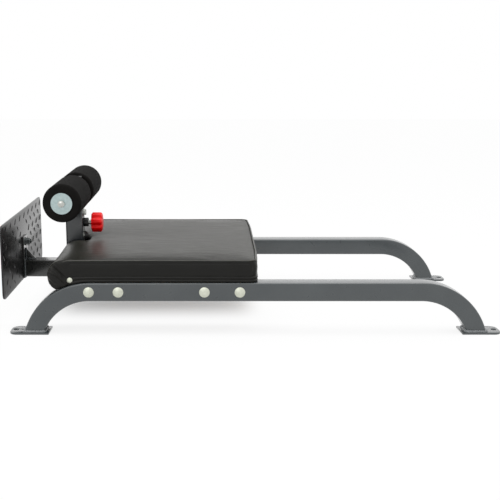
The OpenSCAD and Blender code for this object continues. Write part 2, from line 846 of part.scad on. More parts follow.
// Lobed hand knob
module knob() {
    body_x = knob_x + knob_hub_len;
    end_x = knob_x + knob_len;
    color(knob_red) translate([0, 0, pin_z]) difference() {
        union() {
            along_x(knob_hub_d / 2, knob_x, body_x + cut);
            knob_body(body_x, end_x);
        }
        along_x(insert_r + plug_gap, knob_x - cut, knob_x + insert_len + face_gap);
    }
}

// Threaded metal insert in the knob
module knob_insert() {
    color(zinc) translate([0, 0, pin_z]) difference() {
        along_x(insert_r, knob_x, knob_x + insert_len);
        along_x(pin_shaft_d / 2 + bore_gap, knob_x - cut, knob_x + knob_len);
    }
}

// Outline of the board, grown by the given room all round
module board_outline(room) {
    r = pad_corner_r - pad_skirt + room;
    x0 = board_x0 - room;
    round_x = board_x1 + room - r;
    w = board_w + 2 * room;
    translate([x0, -w / 2]) square([round_x - x0, w]);
    translate([x0, r - w / 2]) square([round_x + r - x0, w - 2 * r]);
    for (s = [-1, 1]) translate([round_x, s * (w / 2 - r)]) circle(r = r);
}

// Plywood board of the pad, notched for the post
module pad_board() {
    color(plywood) difference() {
        translate([0, 0, board_low_z]) linear_extrude(height = board_t) board_outline(0);
        translate([board_x0 - cut, -notch_w / 2 - notch_wall, board_low_z - cut])
            cube([notch_x + notch_wall - board_x0 + cut, notch_w + 2 * notch_wall, board_t + 2 * cut]);
        for (x = [front_cross_x, rear_cross_x], s = [-1, 1])
            translate([x, s * board_bolt_y, board_low_z - cut])
                cylinder(r = board_bolt_d / 2 + tee_wall + plug_gap, h = board_t + 2 * cut);
        for (s = [-1, 1])
            translate([side_screw_x, s * (board_w / 2 + cut), side_screw_z]) point_y(-s)
                cylinder(d = side_shank_d + 2 * plug_gap, h = side_shank_len);
    }
}

// Depth of a round corner of radius r at a distance d from the edge
function corner_cut(r, d) = d >= r ? 0 : r - sqrt(pow(r, 2) - pow(r - d, 2));

// Distances from the pad's side at which its sections lie
round_d = max(pad_corner_r, pad_edge_r + 4);
side_steps = concat(
    [0, 2, 6, pad_edge_r],
    [for (k = [0 : 3]) round_d + (pad_w / 2 - round_d) * k / 3]
);
pad_sections = concat(
    [for (d = side_steps) [-1, d]],
    [for (k = [len(side_steps) - 2 : -1 : 0]) [1, side_steps[k]]]
);

// Right end of the section that lies d from the side
function section_end(d) = pad_end_x - corner_cut(pad_corner_r, d);

// Stations of a section from the hand end to the nose, each with its share of the nose's curve
function stations(d) = let (e = section_end(d)) concat(
    [for (t = [0, 2, 6, pad_edge_r]) [e - t, 0]],
    [for (k = [1 : 4]) let (a = e - pad_edge_r) [a + (-bend_mid_x - a) * k / 5, 0]],
    [for (k = [0 : 2]) [-bend_mid_x - nose_chord * k, 0]],
    [for (a = [0, 22.5, 45, 67.5])
        [nose_mid_x - (nose_depth - corner_cut(nose_corner_r, d)) * sin(a), a]]
);

// Height of the pad's underside, which follows the rails over their bends
function under_z(x, d) =
    let (
        arc = bend_mid_z + sqrt(pow(under_r, 2) - pow(min(0, x + bend_mid_x), 2)),
        low = bend_mid_z + sqrt(pow(under_r, 2) - pow(nose_low_x + bend_mid_x, 2)),
        reach = nose_low_x - pad_nose_x - corner_cut(nose_corner_r, d),
        share = min(1, max(0, nose_low_x - x) / reach)
    )
    x >= -bend_mid_x ? pad_low_z
    : x >= nose_low_x ? arc
    : nose_tip_z - (nose_tip_z - low) * sqrt(1 - pow(share, 2));

// Height of the pad's top at a station, with its crown and its rounded edges
function over_z(st, d) =
    let (
        x = st[0],
        e = min(pad_edge_r, norm([
            max(0, pad_edge_r - (section_end(d) - x)),
            max(0, pad_edge_r - d)
        ])),
        across = 1 - pow(1 - 2 * d / pad_w, 2),
        along = 1 - pow(2 * (x - nose_mid_x) / (pad_end_x - nose_mid_x) - 1, 4),
        edge_drop = pad_edge_r - sqrt(pow(pad_edge_r, 2) - pow(e, 2)),
        flat = pad_top_z + pad_crown * across * max(0, along) - edge_drop
    )
    nose_tip_z + (flat - nose_tip_z) * cos(st[1]);

// How far the side is drawn in at x
function drawn(x) =
    pad_draw * max(0, sin(180 * (x - pad_nose_x) / (pad_end_x - pad_nose_x)));

// One closed section of the pad: underside, nose tip, top and the middle of the end wall
function section_points(s, d) =
    let (st = stations(d), n = len(st), tip_x = pad_nose_x + corner_cut(nose_corner_r, d))
    concat(
        [for (p = st) [p[0], s * (pad_w / 2 - d - drawn(p[0])), under_z(p[0], d)]],
        [[tip_x, s * (pad_w / 2 - d), nose_tip_z]],
        [for (k = [n - 1 : -1 : 0])
            let (p = st[k]) [p[0], s * (pad_w / 2 - d - drawn(p[0])), over_z(p, d)]],
        [[section_end(d) - pad_draw, s * (pad_w / 2 - d), (pad_low_z + pad_top_z) / 2]]
    );

// Points down the middle of a side wall, drawn in a little more than its edges
function wall_points(s) = [
    for (p = stations(0))
        [p[0], s * (pad_w / 2 - drawn(p[0]) - pad_draw), (under_z(p[0], 0) + over_z(p, 0)) / 2]
];

// Padded cushion: crowned top, drawn-in sides, bull nose over the rails' bends
module pad_form() {
    n = len(stations(0));
    loop = 2 * n + 2;
    count = len(pad_sections);
    last = (count - 1) * loop;
    wall_a = count * loop;
    wall_b = wall_a + n;
    points = concat(
        [for (q = pad_sections) each section_points(q[0], q[1])],
        wall_points(-1),
        wall_points(1)
    );
    skin = [
        for (j = [0 : count - 2], k = [0 : loop - 1])
            let (a = j * loop + k, b = j * loop + (k + 1) % loop)
                each [[a, a + loop, b + loop], [a, b + loop, b]]
    ];
    // Middle of the wall at station k: the end wall's own point, the wall row, or the nose tip
    function mid(wall, first, k) = k == 0 ? first + loop - 1 : k == n ? first + n : wall + k;
    function side(wall, first) = [
        for (k = [0 : n - 1])
            let (
                a = first + k,
                b = first + k + 1,
                c = mid(wall, first, k),
                e = mid(wall, first, k + 1),
                f = first + 2 * n - k,
                g = first + 2 * n - k - 1
            )
                each k == n - 1 ? [[a, b, c], [c, b, f]]
                    : [[a, b, e], [a, e, c], [c, e, g], [c, g, f]]
    ];
    near = side(wall_a, 0);
    far = [for (t = side(wall_b, last)) [t[0], t[2], t[1]]];
    polyhedron(points, concat(skin, near, far), convexity = 6);
}

// Cushion with its notch for the post and its pocket for the board
module pad_cushion() {
    tall = pad_top_z + pad_crown + cut;
    color(vinyl_black) difference() {
        pad_form();
        translate([pad_nose_x - cut, -notch_w / 2, 0])
            cube([notch_x - pad_nose_x + cut, notch_w, tall]);
        translate([0, 0, board_low_z - soft_gap]) linear_extrude(height = board_t + 2 * soft_gap)
            board_outline(soft_gap);
        for (s = [-1, 1])
            translate([side_screw_x, s * pad_w / 2, side_screw_z]) point_y(-s)
                cylinder(d = side_shank_d + 2 * soft_gap, h = (pad_w - board_w) / 2 + cut, $fn = 16);
    }
}

// Bolts up through the cross tubes into the board
module board_bolts() {
    low = rail_mid_z - tube_w / 2;
    color(zinc) for (x = [front_cross_x, rear_cross_x], s = [-1, 1])
        translate([x, s * board_bolt_y, low]) {
            cylinder(d = board_bolt_d, h = tube_w + board_t - 2);
            translate([0, 0, -board_head_h]) hexagon(board_bolt_d * 2, board_head_h);
        }
}

// Tee nuts in the board
module board_tee_nuts() {
    color(zinc) for (x = [front_cross_x, rear_cross_x], s = [-1, 1])
        translate([x, s * board_bolt_y, board_low_z]) difference() {
            cylinder(r = board_bolt_d / 2 + tee_wall, h = board_t);
            translate([0, 0, -cut]) cylinder(r = board_bolt_d / 2 + bore_gap, h = board_t + 2 * cut);
        }
}

// Domed screws in the board's edge that hold the cover at the nose
module pad_side_screws() {
    y = pad_w / 2 - drawn(side_screw_x);
    color(zinc) for (s = [-1, 1]) translate([side_screw_x, s * y, side_screw_z]) point_y(s) {
        dome(side_screw_d / 2, side_screw_h);
        translate([0, 0, -side_shank_len]) cylinder(d = side_shank_d, h = side_shank_len);
    }
}

side_rail(-1);  // near_side_rail
side_rail(1);  // far_side_rail
anchor(-1, -1);  // near_tread_end_anchor
anchor(1, -1);  // near_hand_end_anchor
anchor(-1, 1);  // far_tread_end_anchor
anchor(1, 1);  // far_hand_end_anchor
cross_tube(front_cross_x, -1);  // near_front_cross_tube
cross_tube(front_cross_x, 1);  // far_front_cross_tube
cross_tube(rear_cross_x, -1);  // near_rear_cross_tube
cross_tube(rear_cross_x, 1);  // far_rear_cross_tube
flange(front_cross_x, front_bolt_pitch, -1);  // near_front_flange
flange(front_cross_x, front_bolt_pitch, 1);  // far_front_flange
flange(rear_cross_x, rear_bolt_pitch, -1);  // near_rear_flange
flange(rear_cross_x, rear_bolt_pitch, 1);  // far_rear_flange
frame_bolts(-1);  // near_frame_bolts
frame_bolts(1);  // far_frame_bolts
frame_washers(-1);  // near_frame_washers
frame_washers(1);  // far_frame_washers
frame_nuts(-1);  // near_frame_nuts
frame_nuts(1);  // far_frame_nuts
spine_tube();
spine_end_plate();
spine_gusset();
spine_end_cap();
tread_plate();
tread_bolt();
tread_washer();
tread_nut();
post_sleeve();
upper_bushing();
lower_bushing();
guide_bolt(guide_upper_z);  // upper_guide_bolt
guide_bolt(guide_lower_z);  // lower_guide_bolt
guide_bolt_cap();
inner_post();
post_cap();
roller_axle();
axle_collar(-1);  // near_axle_collar
axle_collar(1);  // far_axle_collar
roller_liner(-1);  // near_roller_liner
roller_liner(1);  // far_roller_liner
foam_roller(-1);  // near_foam_roller
foam_roller(1);  // far_foam_roller
end_washer(-1);  // near_end_washer
end_washer(1);  // far_end_washer
end_bolt(-1);  // near_end_bolt
end_bolt(1);  // far_end_bolt
pin_housing();
lock_pin();
pin_spring();
knob();
knob_insert();
pad_board();
pad_cushion();
board_bolts();
board_tee_nuts();
pad_side_screws();
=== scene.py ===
# %% [markdown]
# # A floor glute ham developer, dressed for the camera
#
# The frame of this bench comes from CAD: exact rails, bolts, plates and a roller post. This
# file adds what makes them look real: paint, weld beads, a tread pattern, foam and a stuffed
# knee pad. Each cell first says what a piece is on the real bench, then how it can be made
# from a few numbers, and then makes it.
#
# All lengths are in metres and all pieces are made where they belong, with their objects at
# the origin. +X runs along the rails to the hand end, +Y to the far side and +Z up.

import json
import math

import bmesh
import bpy
import numpy as np
from mathutils import Matrix, Vector


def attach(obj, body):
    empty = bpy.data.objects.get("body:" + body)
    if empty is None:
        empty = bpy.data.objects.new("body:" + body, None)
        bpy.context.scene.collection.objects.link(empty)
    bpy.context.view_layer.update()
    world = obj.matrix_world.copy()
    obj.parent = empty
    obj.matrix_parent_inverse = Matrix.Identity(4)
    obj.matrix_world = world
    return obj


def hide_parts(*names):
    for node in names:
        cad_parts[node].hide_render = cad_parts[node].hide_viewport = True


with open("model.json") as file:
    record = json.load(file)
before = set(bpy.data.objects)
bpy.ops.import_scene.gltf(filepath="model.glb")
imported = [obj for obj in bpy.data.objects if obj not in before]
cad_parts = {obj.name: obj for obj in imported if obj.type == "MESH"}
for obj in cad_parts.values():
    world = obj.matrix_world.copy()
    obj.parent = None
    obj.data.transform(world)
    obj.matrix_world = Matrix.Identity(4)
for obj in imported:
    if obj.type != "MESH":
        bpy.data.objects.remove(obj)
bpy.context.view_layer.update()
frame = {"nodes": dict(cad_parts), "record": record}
nodes = frame["nodes"]
scene = bpy.context.scene
scene.view_settings.view_transform = "Standard"
print("the frame has", len(nodes), "CAD nodes")

# %% [markdown]
# ## Surfaces from numbers
#
# Most pieces here are a sheet of points in rows and columns. numpy works out all points at
# once, and one helper joins neighbours into four-sided faces. A sheet can close on itself
# along its rows, as a tube does, or along both, as a ring does.

# %% Mesh helpers
def grid_faces(rows, cols, close_rows=False, close_cols=False):
    """Faces of a sheet of rows x cols points: each face joins a point, its right
    neighbour, the one above that, and the one above itself."""
    r = np.arange(rows if close_rows else rows - 1)[:, None]
    c = np.arange(cols if close_cols else cols - 1)[None, :]
    r2, c2 = (r + 1) % rows, (c + 1) % cols
    quads = [r * cols + c, r * cols + c2, r2 * cols + c2, r2 * cols + c]
    return np.stack([np.broadcast_to(q, (r.size, c.size)) for q in quads], -1).reshape(-1, 4)


def add_object(name, points, faces, smooth=True):
    """A new object from an array of points and a list of faces."""
    mesh = bpy.data.meshes.new(name)
    mesh.from_pydata(np.asarray(points, float).reshape(-1, 3).tolist(), [], list(map(list, faces)))
    mesh.update()
    if smooth:
        mesh.polygons.foreach_set("use_smooth", [True] * len(mesh.polygons))
    obj = bpy.data.objects.new(name, mesh)
    scene.collection.objects.link(obj)
    return obj


def tidy(obj, gap=1e-5):
    """Merges points that lie on each other and turns all faces outwards."""
    bm = bmesh.new()
    bm.from_mesh(obj.data)
    bmesh.ops.remove_doubles(bm, verts=bm.verts, dist=gap)
    bmesh.ops.recalc_face_normals(bm, faces=bm.faces)
    bm.to_mesh(obj.data)
    bm.free()
    return obj


def tube(name, path, radius, sides=10, closed=True):
    """A round tube along a path. radius is one number or one per point of the path."""
    path = np.asarray(path, float)
    ahead = np.roll(path, -1, 0) - np.roll(path, 1, 0)
    if not closed:
        ahead[0], ahead[-1] = path[1] - path[0], path[-1] - path[-2]
    ahead /= np.linalg.norm(ahead, axis=1)[:, None]
    up = np.array([0.31, 0.17, 0.93])
    side = np.cross(ahead, up)
    side /= np.linalg.norm(side, axis=1)[:, None]
    top = np.cross(side, ahead)
    turn = np.linspace(0, 2 * math.pi, sides, endpoint=False)
    ring = np.cos(turn)[None, :, None] * side[:, None] + np.sin(turn)[None, :, None] * top[:, None]
    points = path[:, None] + ring * np.broadcast_to(radius, len(path))[:, None, None]
    faces = grid_faces(len(path), sides, closed, True).tolist()
    if not closed:
        last = (len(path) - 1) * sides
        faces += [list(range(sides))[::-1], list(range(last, last + sides))]
    return tidy(add_object(name, points, faces))


def apply_modifiers(obj):
    """Puts the result of an object's modifiers into its mesh and drops them."""
    depsgraph = bpy.context.evaluated_depsgraph_get()
    done = bpy.data.meshes.new_from_object(obj.evaluated_get(depsgraph))
    obj.modifiers.clear()
    obj.data = done
    return obj


def smooth(t):
    """Goes from 0 to 1 as t does, without a corner at either end."""
    t = np.clip(t, 0, 1)
    return t * t * (3 - 2 * t)


def paint(obj, material, body, slot, *replaced):
    """Gives a finished piece its material and its CAD body; the slot is not used."""
    obj.data.materials.clear()
    obj.data.materials.append(material)
    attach(obj, body)
    if replaced:
        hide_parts(*replaced)
    return obj


# %% [markdown]
# ## Materials
#
# Every material is a small network of nodes. Noise in object coordinates makes the surface
# uneven at the scale of the real one: the orange peel of powder coat is about a millimetre,
# the grain of vinyl less, the pores of foam about a millimetre. The same noise that lifts
# the surface also changes its gloss a little, because that is how light reads a texture.

# %% Material helpers
def linear(r, g, b):
    """Screen colour from 0 to 255 as the linear colour that shaders use."""
    c = np.array([r, g, b], float) / 255
    return tuple(np.where(c <= 0.04045, c / 12.92, ((c + 0.055) / 1.055) ** 2.4)) + (1.0,)


def material(name, rough, metal=0.0, coat=0.0, coat_rough=0.1, ior=1.5, sheen=0.0):
    """A new material, its node tree and its shader, with the plain values set."""
    m = bpy.data.materials.new(name)
    m.use_nodes = True
    shader = m.node_tree.nodes["Principled BSDF"]
    shader.inputs["Roughness"].default_value = rough
    shader.inputs["Metallic"].default_value = metal
    shader.inputs["Coat Weight"].default_value = coat
    shader.inputs["Coat Roughness"].default_value = coat_rough
    shader.inputs["IOR"].default_value = ior
    shader.inputs["Sheen Weight"].default_value = sheen
    return m, m.node_tree, shader


def add_node(tree, kind, inputs=(), **settings):
    """A node of one kind, with its settings and the start values of its inputs."""
    n = tree.nodes.new(kind)
    for key, value in settings.items():
        setattr(n, key, value)
    for key, value in dict(inputs).items():
        n.inputs[key].default_value = value
    return n


def place(tree, stretch=(1, 1, 1)):
    """Object coordinates, stretched along the axes."""
    where = add_node(tree, "ShaderNodeTexCoord")
    scale = add_node(tree, "ShaderNodeMapping", {"Scale": stretch})
    tree.links.new(where.outputs["Object"], scale.inputs["Vector"])
    return scale.outputs["Vector"]


def noise(tree, vector, scale, detail=3.0, rough=0.55):
    """Soft noise with the given number of lumps per metre."""
    n = add_node(tree, "ShaderNodeTexNoise", {"Scale": scale, "Detail": detail, "Roughness": rough})
    tree.links.new(vector, n.inputs["Vector"])
    return n.outputs["Fac"]


def ramp(tree, fac, stops):
    """Colours or greys at places from 0 to 1, smoothly joined."""
    n = add_node(tree, "ShaderNodeValToRGB")
    while len(n.color_ramp.elements) < len(stops):
        n.color_ramp.elements.new(0.5)
    for e, (at, colour) in zip(n.color_ramp.elements, stops):
        e.position = at
        e.color = colour if hasattr(colour, "__len__") else (colour, colour, colour, 1)
    tree.links.new(fac, n.inputs["Fac"])
    return n.outputs["Color"]


def bump(tree, height, depth, strength=1.0, normal=None):
    """Tilts the surface as if it stood out by depth where height is 1."""
    n = add_node(tree, "ShaderNodeBump", {"Strength": strength, "Distance": depth})
    tree.links.new(height, n.inputs["Height"])
    if normal is not None:
        tree.links.new(normal, n.inputs["Normal"])
    return n.outputs["Normal"]


# %% [markdown]
# Powder coat is paint that was sprayed on as dust and melted: even in colour, with a fine
# orange peel and a soft gloss that turns nearly white where light grazes it.

# %% Powder coat and tread gloss
def powder_coat(name, dark, light, rough, peel=0.00012, coat=0.0, ior=1.5):
    """Cloudy colour, gloss that wanders by a fifth, and a fine orange peel."""
    m, tree, shader = material(name, rough, coat=coat, coat_rough=rough * 0.7, ior=ior)
    at = place(tree)
    cloudy = noise(tree, at, 6, 3)
    tree.links.new(ramp(tree, cloudy, [(0.3, dark), (0.7, light)]), shader.inputs["Base Color"])
    fine = noise(tree, at, 620, 2, 0.5)
    gloss = ramp(tree, noise(tree, at, 60, 3), [(0.25, rough * 0.85), (0.75, rough * 1.2)])
    tree.links.new(gloss, shader.inputs["Roughness"])
    tree.links.new(bump(tree, fine, peel, 0.15), shader.inputs["Normal"])
    return m


slate = powder_coat("slate_powder_coat", linear(43, 50, 53), linear(57, 63, 65), 0.3, coat=0.95)
# the post's coat is the slate coat darkened: painted shade, for the shade between the rollers
post_coat_painted_shade = powder_coat("post_powder_coat_painted_shade", linear(34, 39, 42), linear(39, 45, 48), 0.3, coat=0.8)
# the spine's coat is a darker paint with painted shade on top of it, for the shade under the pad
spine_coat_paint_and_shade = powder_coat("dark_paint_and_painted_shade_coat", linear(22, 23, 20), linear(27, 28, 25), 0.28, coat=0.9)
# the foot beads' coat is much lighter than the rails': a painted highlight for the glints off their
# lumps
bead_coat_painted_highlight = powder_coat(
    "bead_powder_coat_painted_highlight", linear(84, 88, 90), linear(112, 116, 118), 0.16, coat=1.0
)
gloss_black = powder_coat("gloss_black_tread", linear(9, 8, 8), linear(14, 12, 11), 0.2, 0.00006)
print("powder coats: rails, post, spine, beads and tread")

# %% [markdown]
# The tread plate is glossy at the top and duller low down, where shoes would rub it. Its
# roughness follows the height above the floor: 0.34 below 0.14 m, 0.21 above 0.20 m.

# %% Duller low down
DULL_BELOW, GLOSSY_ABOVE, DULL, GLOSSY = 0.14, 0.20, 0.34, 0.21
tree = gloss_black.node_tree
height = add_node(tree, "ShaderNodeSeparateXYZ")
tree.links.new(place(tree), height.inputs["Vector"])
spans = {"From Min": DULL_BELOW, "From Max": GLOSSY_ABOVE, "To Min": DULL, "To Max": GLOSSY}
worn = add_node(tree, "ShaderNodeMapRange", spans)
tree.links.new(height.outputs["Z"], worn.inputs["Value"])
tree.links.new(worn.outputs["Result"], tree.nodes["Principled BSDF"].inputs["Roughness"])
print("tread roughness:", DULL, "below", DULL_BELOW, "m and", GLOSSY, "above", GLOSSY_ABOVE, "m")

# %% [markdown]
# Zinc plate is thin bright metal on steel. It has a faint grain of cloudy crystals, and
# small scratches from the spanner that run every way.

# %% Zinc
def zinc_plate(name, dark, light, rough):
    """Bare metal with cloudy crystals, and fine marks that change gloss and tilt."""
    m, tree, shader = material(name, rough, metal=1.0)
    at = place(tree)
    cloudy = noise(tree, at, 140, 5, 0.6)
    tree.links.new(ramp(tree, cloudy, [(0.3, dark), (0.7, light)]), shader.inputs["Base Color"])
    marks = noise(tree, place(tree, (1, 1, 9)), 420, 3)
    tree.links.new(
        ramp(tree, marks, [(0.3, rough * 0.8), (0.75, rough * 1.35)]), shader.inputs["Roughness"]
    )
    tree.links.new(bump(tree, marks, 0.00005, 0.3), shader.inputs["Normal"])
    return m


zinc = zinc_plate("bright_zinc", linear(176, 178, 174), linear(206, 208, 202), 0.3)
flat_zinc = zinc_plate("flat_zinc", linear(204, 207, 192), linear(220, 222, 208), 0.5)
dark_zinc = zinc_plate("dark_zinc", linear(70, 74, 74), linear(104, 108, 108), 0.22)
pale_zinc = zinc_plate("pale_zinc", linear(166, 182, 182), linear(184, 200, 200), 0.4)
print("zinc: bright, flat, dark and pale")

# %% [markdown]
# Moulded plastic copies its mould: the black parts have a fine spark-eroded grain, and the
# red knob is smoother, with a full and nearly even colour.

# %% Plastics
def moulded(name, dark, light, rough, grain, depth, ior=1.5):
    """Nearly even colour with a grain of so many lumps per metre, depth metres high."""
    m, tree, shader = material(name, rough, ior=ior)
    at = place(tree)
    tone = ramp(tree, noise(tree, at, 40, 4), [(0.3, dark), (0.7, light)])
    tree.links.new(tone, shader.inputs["Base Color"])
    fine = noise(tree, at, grain, 3, 0.6)
    tree.links.new(
        ramp(tree, fine, [(0.3, rough * 0.9), (0.7, rough * 1.15)]), shader.inputs["Roughness"]
    )
    tree.links.new(bump(tree, fine, depth, 0.5), shader.inputs["Normal"])
    return m


black_plastic = moulded(
    "black_plastic", linear(20, 20, 20), linear(28, 28, 28), 0.42, 1500, 0.00005
)
red_plastic = moulded(
    "red_plastic", linear(238, 3, 6), linear(250, 6, 9), 0.36, 900, 0.00003, ior=1.35
)
print("plastics: black and red")

# %% [markdown]
# The ankle rollers are closed-cell rubber foam: nearly black, with no gloss, and covered in
# tiny pores. Two sizes of noise give pores and the soft unevenness of the block.

# %% Foam
PORES = 900.0
foam_black, tree, shader = material("roller_foam", 0.85, ior=1.15)
at = place(tree)
pores = add_node(tree, "ShaderNodeTexVoronoi", {"Scale": PORES}, feature="F1")
tree.links.new(at, pores.inputs["Vector"])
blotch = noise(tree, at, 26, 4)
tone = ramp(tree, blotch, [(0.3, linear(18, 17, 16)), (0.7, linear(25, 24, 23))])
tree.links.new(tone, shader.inputs["Base Color"])
normal = bump(tree, pores.outputs["Distance"], 0.0004, 0.5)
tree.links.new(bump(tree, blotch, 0.0012, 0.5, normal), shader.inputs["Normal"])
print("foam: pores of about", round(1000 / PORES, 1), "mm")

# %% [markdown]
# The pad's cover is black vinyl with a leather grain: small cells between fine lines, and
# creases that run along the pad where the cover was pulled over the nose.

# %% Vinyl
GRAIN_CELLS = 620.0
vinyl, tree, shader = material("pad_vinyl", 0.34, ior=1.3, sheen=0.04)
shader.inputs["Sheen Tint"].default_value = (1.0, 0.96, 0.7, 1)
at = place(tree)
cells = add_node(
    tree, "ShaderNodeTexVoronoi", {"Scale": GRAIN_CELLS}, feature="DISTANCE_TO_EDGE"
)
tree.links.new(at, cells.inputs["Vector"])
lines = ramp(tree, cells.outputs["Distance"], [(0.0, 0.0), (0.22, 1.0)])
creases = noise(tree, place(tree, (3, 26, 14)), 6, 6, 0.6)
wide = noise(tree, at, 8, 3)
tone = ramp(tree, wide, [(0.3, linear(12, 12, 10)), (0.7, linear(18, 18, 15))])
tree.links.new(tone, shader.inputs["Base Color"])
gloss = ramp(tree, creases, [(0.3, 0.28), (0.7, 0.38)])
tree.links.new(gloss, shader.inputs["Roughness"])
normal = bump(tree, creases, 0.0022, 0.55)
tree.links.new(bump(tree, lines, 0.00015, 0.5, normal), shader.inputs["Normal"])
print("vinyl: grain cells of about", round(1000 / GRAIN_CELLS, 1), "mm")

# %% [markdown]
# Birch plywood shows pale plies at its edge and a long grain on its face.

# %% Plywood
plywood, tree, shader = material("plywood", 0.6)
grain = noise(tree, place(tree, (2, 30, 30)), 9, 6, 0.6)
plies = add_node(
    tree, "ShaderNodeTexWave", {"Scale": 210.0, "Distortion": 0.4}, bands_direction="Z"
)
tree.links.new(place(tree), plies.inputs["Vector"])
blend = add_node(tree, "ShaderNodeMix", {"Factor": 0.25}, data_type="RGBA")
tree.links.new(
    ramp(tree, grain, [(0.3, linear(176, 138, 92)), (0.7, linear(206, 172, 124))]),
    blend.inputs["A"],
)
tree.links.new(
    ramp(tree, plies.outputs["Fac"], [(0.3, linear(150, 112, 72)), (0.6, linear(214, 182, 136))]),
    blend.inputs["B"],
)
tree.links.new(blend.outputs["Result"], shader.inputs["Base Color"])
tree.links.new(bump(tree, grain, 0.0003, 0.4), shader.inputs["Normal"])
print("plywood made")

# %% [markdown]
# ## The CAD nodes that stay
#
# Fasteners, bushings and plates are already right in the frame. They get a material, one per
# slot of the record. Some nodes have a look of their own. The post's sleeve is darker than the
# rails by painted shade, for the shade between the rollers. The spine, its end plate and gusset
# are darker by a darker paint and by painted shade under the pad as well. The rails' bolt heads
# are dull, and the tread plate's bolt is dark.

# %% Materials for the CAD nodes
looks = {
    "slate_paint": slate,
    "tread_gloss": gloss_black,
    "zinc": zinc,
    "end_washer_zinc": pale_zinc,
    "black_plastic": black_plastic,
    "roller_foam": foam_black,
    "red_knob": red_plastic,
    "plywood": plywood,
    "pad_vinyl": vinyl,
}
own_looks = {
    "spine_tube": spine_coat_paint_and_shade,
    "spine_end_plate": spine_coat_paint_and_shade,
    "spine_gusset": spine_coat_paint_and_shade,
    "post_sleeve": post_coat_painted_shade,
    "near_frame_bolts": flat_zinc,
    "far_frame_bolts": flat_zinc,
    "pad_side_screws": flat_zinc,
    "tread_bolt": dark_zinc,
    "tread_washer": dark_zinc,
    "tread_nut": dark_zinc,
}
slot_of = {part["node"]: part["material_slot"] for part in frame["record"]["subparts"]}
for name, obj in nodes.items():
    obj.data.materials.clear()
    obj.data.materials.append(own_looks.get(name, looks[slot_of[name]]))
print("materials:", len(looks), "by slot, and", len(own_looks), "nodes with their own")

# %% [markdown]
# ## Edges that catch the light
#
# No sawn or pressed edge is perfectly sharp, and paint rounds it further. A merged copy of a
# CAD node gets a bevel of under a millimetre on each edge that turns by more than 35 degrees,
# and stands in for the node.

# %% Edges that catch the light
STEEL_EDGE, SMALL_EDGE = 0.0008, 0.0006


def soften(name, body, width):
    """Copy of a node whose sharp edges are cut back by width in two small steps."""
    copy = bpy.data.objects.new(name + "_edges", nodes[name].data.copy())
    scene.collection.objects.link(copy)
    tidy(copy, 1e-6)
    bm = bmesh.new()
    bm.from_mesh(copy.data)
    bmesh.ops.dissolve_limit(bm, angle_limit=0.01, verts=bm.verts, edges=bm.edges)
    bm.to_mesh(copy.data)
    bm.free()
    edge = copy.modifiers.new("edge", "BEVEL")
    edge.width, edge.segments, edge.limit_method = width, 2, "ANGLE"
    edge.angle_limit = math.radians(35)
    apply_modifiers(copy)
    copy.data.polygons.foreach_set("use_smooth", [True] * len(copy.data.polygons))
    copy.data.set_sharp_from_angle(angle=math.radians(32))
    return paint(copy, own_looks.get(name, looks[slot_of[name]]), body, slot_of[name], name)


ends = [f"{side}_{end}_end_anchor" for side in ("near", "far") for end in ("tread", "hand")]
across = [f"{side}_{end}_flange" for side in ("near", "far") for end in ("front", "rear")]
for name in ends + across + ["spine_end_plate", "spine_gusset", "post_sleeve", "spine_tube"]:
    soften(name, "frame", STEEL_EDGE)
fine = {
    "upper_bushing": "frame",
    "pin_housing": "frame",
    "post_cap": "ankle_post",
    "inner_post": "ankle_post",
}
for name, body in fine.items():
    soften(name, body, SMALL_EDGE)
print("softened", len(ends + across) + 4 + len(fine), "nodes")

# %% [markdown]
# ## Side rails
#
# Each rail is one square tube, bent down at both ends. Its surface is the tube's section
# carried along a path. The section is a square with round corners. On the bend, a point of
# the section at distance rho from the bend's middle runs along an arc of radius rho until
# it reaches the anchor plate, so the foot comes out flat, as if sawn.

# %% Side rails
TUBE, CORNER = 0.050, 0.005
RAIL_Y, RAIL_Z, BEND_X, BEND_R = 0.300, 0.114, 0.440, 0.158
FOOT_Z = 0.005


def rounded_square(side, corner, steps=7):
    """Points round a square with round corners: a quarter circle at each corner."""
    a = np.linspace(0, math.pi / 2, steps)
    mid = side / 2 - corner
    quarter = np.stack([np.cos(a), np.sin(a)], 1) * corner + mid
    turns = []
    for k in range(4):
        c, s = math.cos(k * math.pi / 2), math.sin(k * math.pi / 2)
        turns.append(quarter @ np.array([[c, s], [-s, c]]))
    return np.concatenate(turns)


def rail_points(y):
    """Section times path. On a bend the angle runs from 0 to the one whose cosine is the
    height of the bend's middle above the plate over rho."""
    section = rounded_square(TUBE, CORNER)
    out, across = section[:, 0], section[:, 1]
    rho = BEND_R + out
    end = np.arccos((FOOT_Z - (RAIL_Z - BEND_R)) / rho)
    t = np.linspace(1, 0, 49)[:, None]
    # the inner wall of a bent tube sinks in a little between its corners
    flat = np.clip(1 - (across / 0.022) ** 2, 0, 1) * (out < -0.02)
    sink = 0.0009 * flat * np.sin(np.clip(t * 1.3, 0, 1) * math.pi)
    angle = t * end
    x = BEND_X + (rho + sink) * np.sin(angle)
    z = RAIL_Z - BEND_R + (rho + sink) * np.cos(angle)
    right = np.stack([x, np.broadcast_to(y + across, x.shape), z], -1)
    left = right[::-1] * [-1, 1, 1]
    middle = np.linspace(BEND_X, -BEND_X, 13)[1:-1]
    straight = np.stack(np.broadcast_arrays(middle[:, None], y + across, RAIL_Z + out), -1)
    return np.concatenate([right, straight, left])


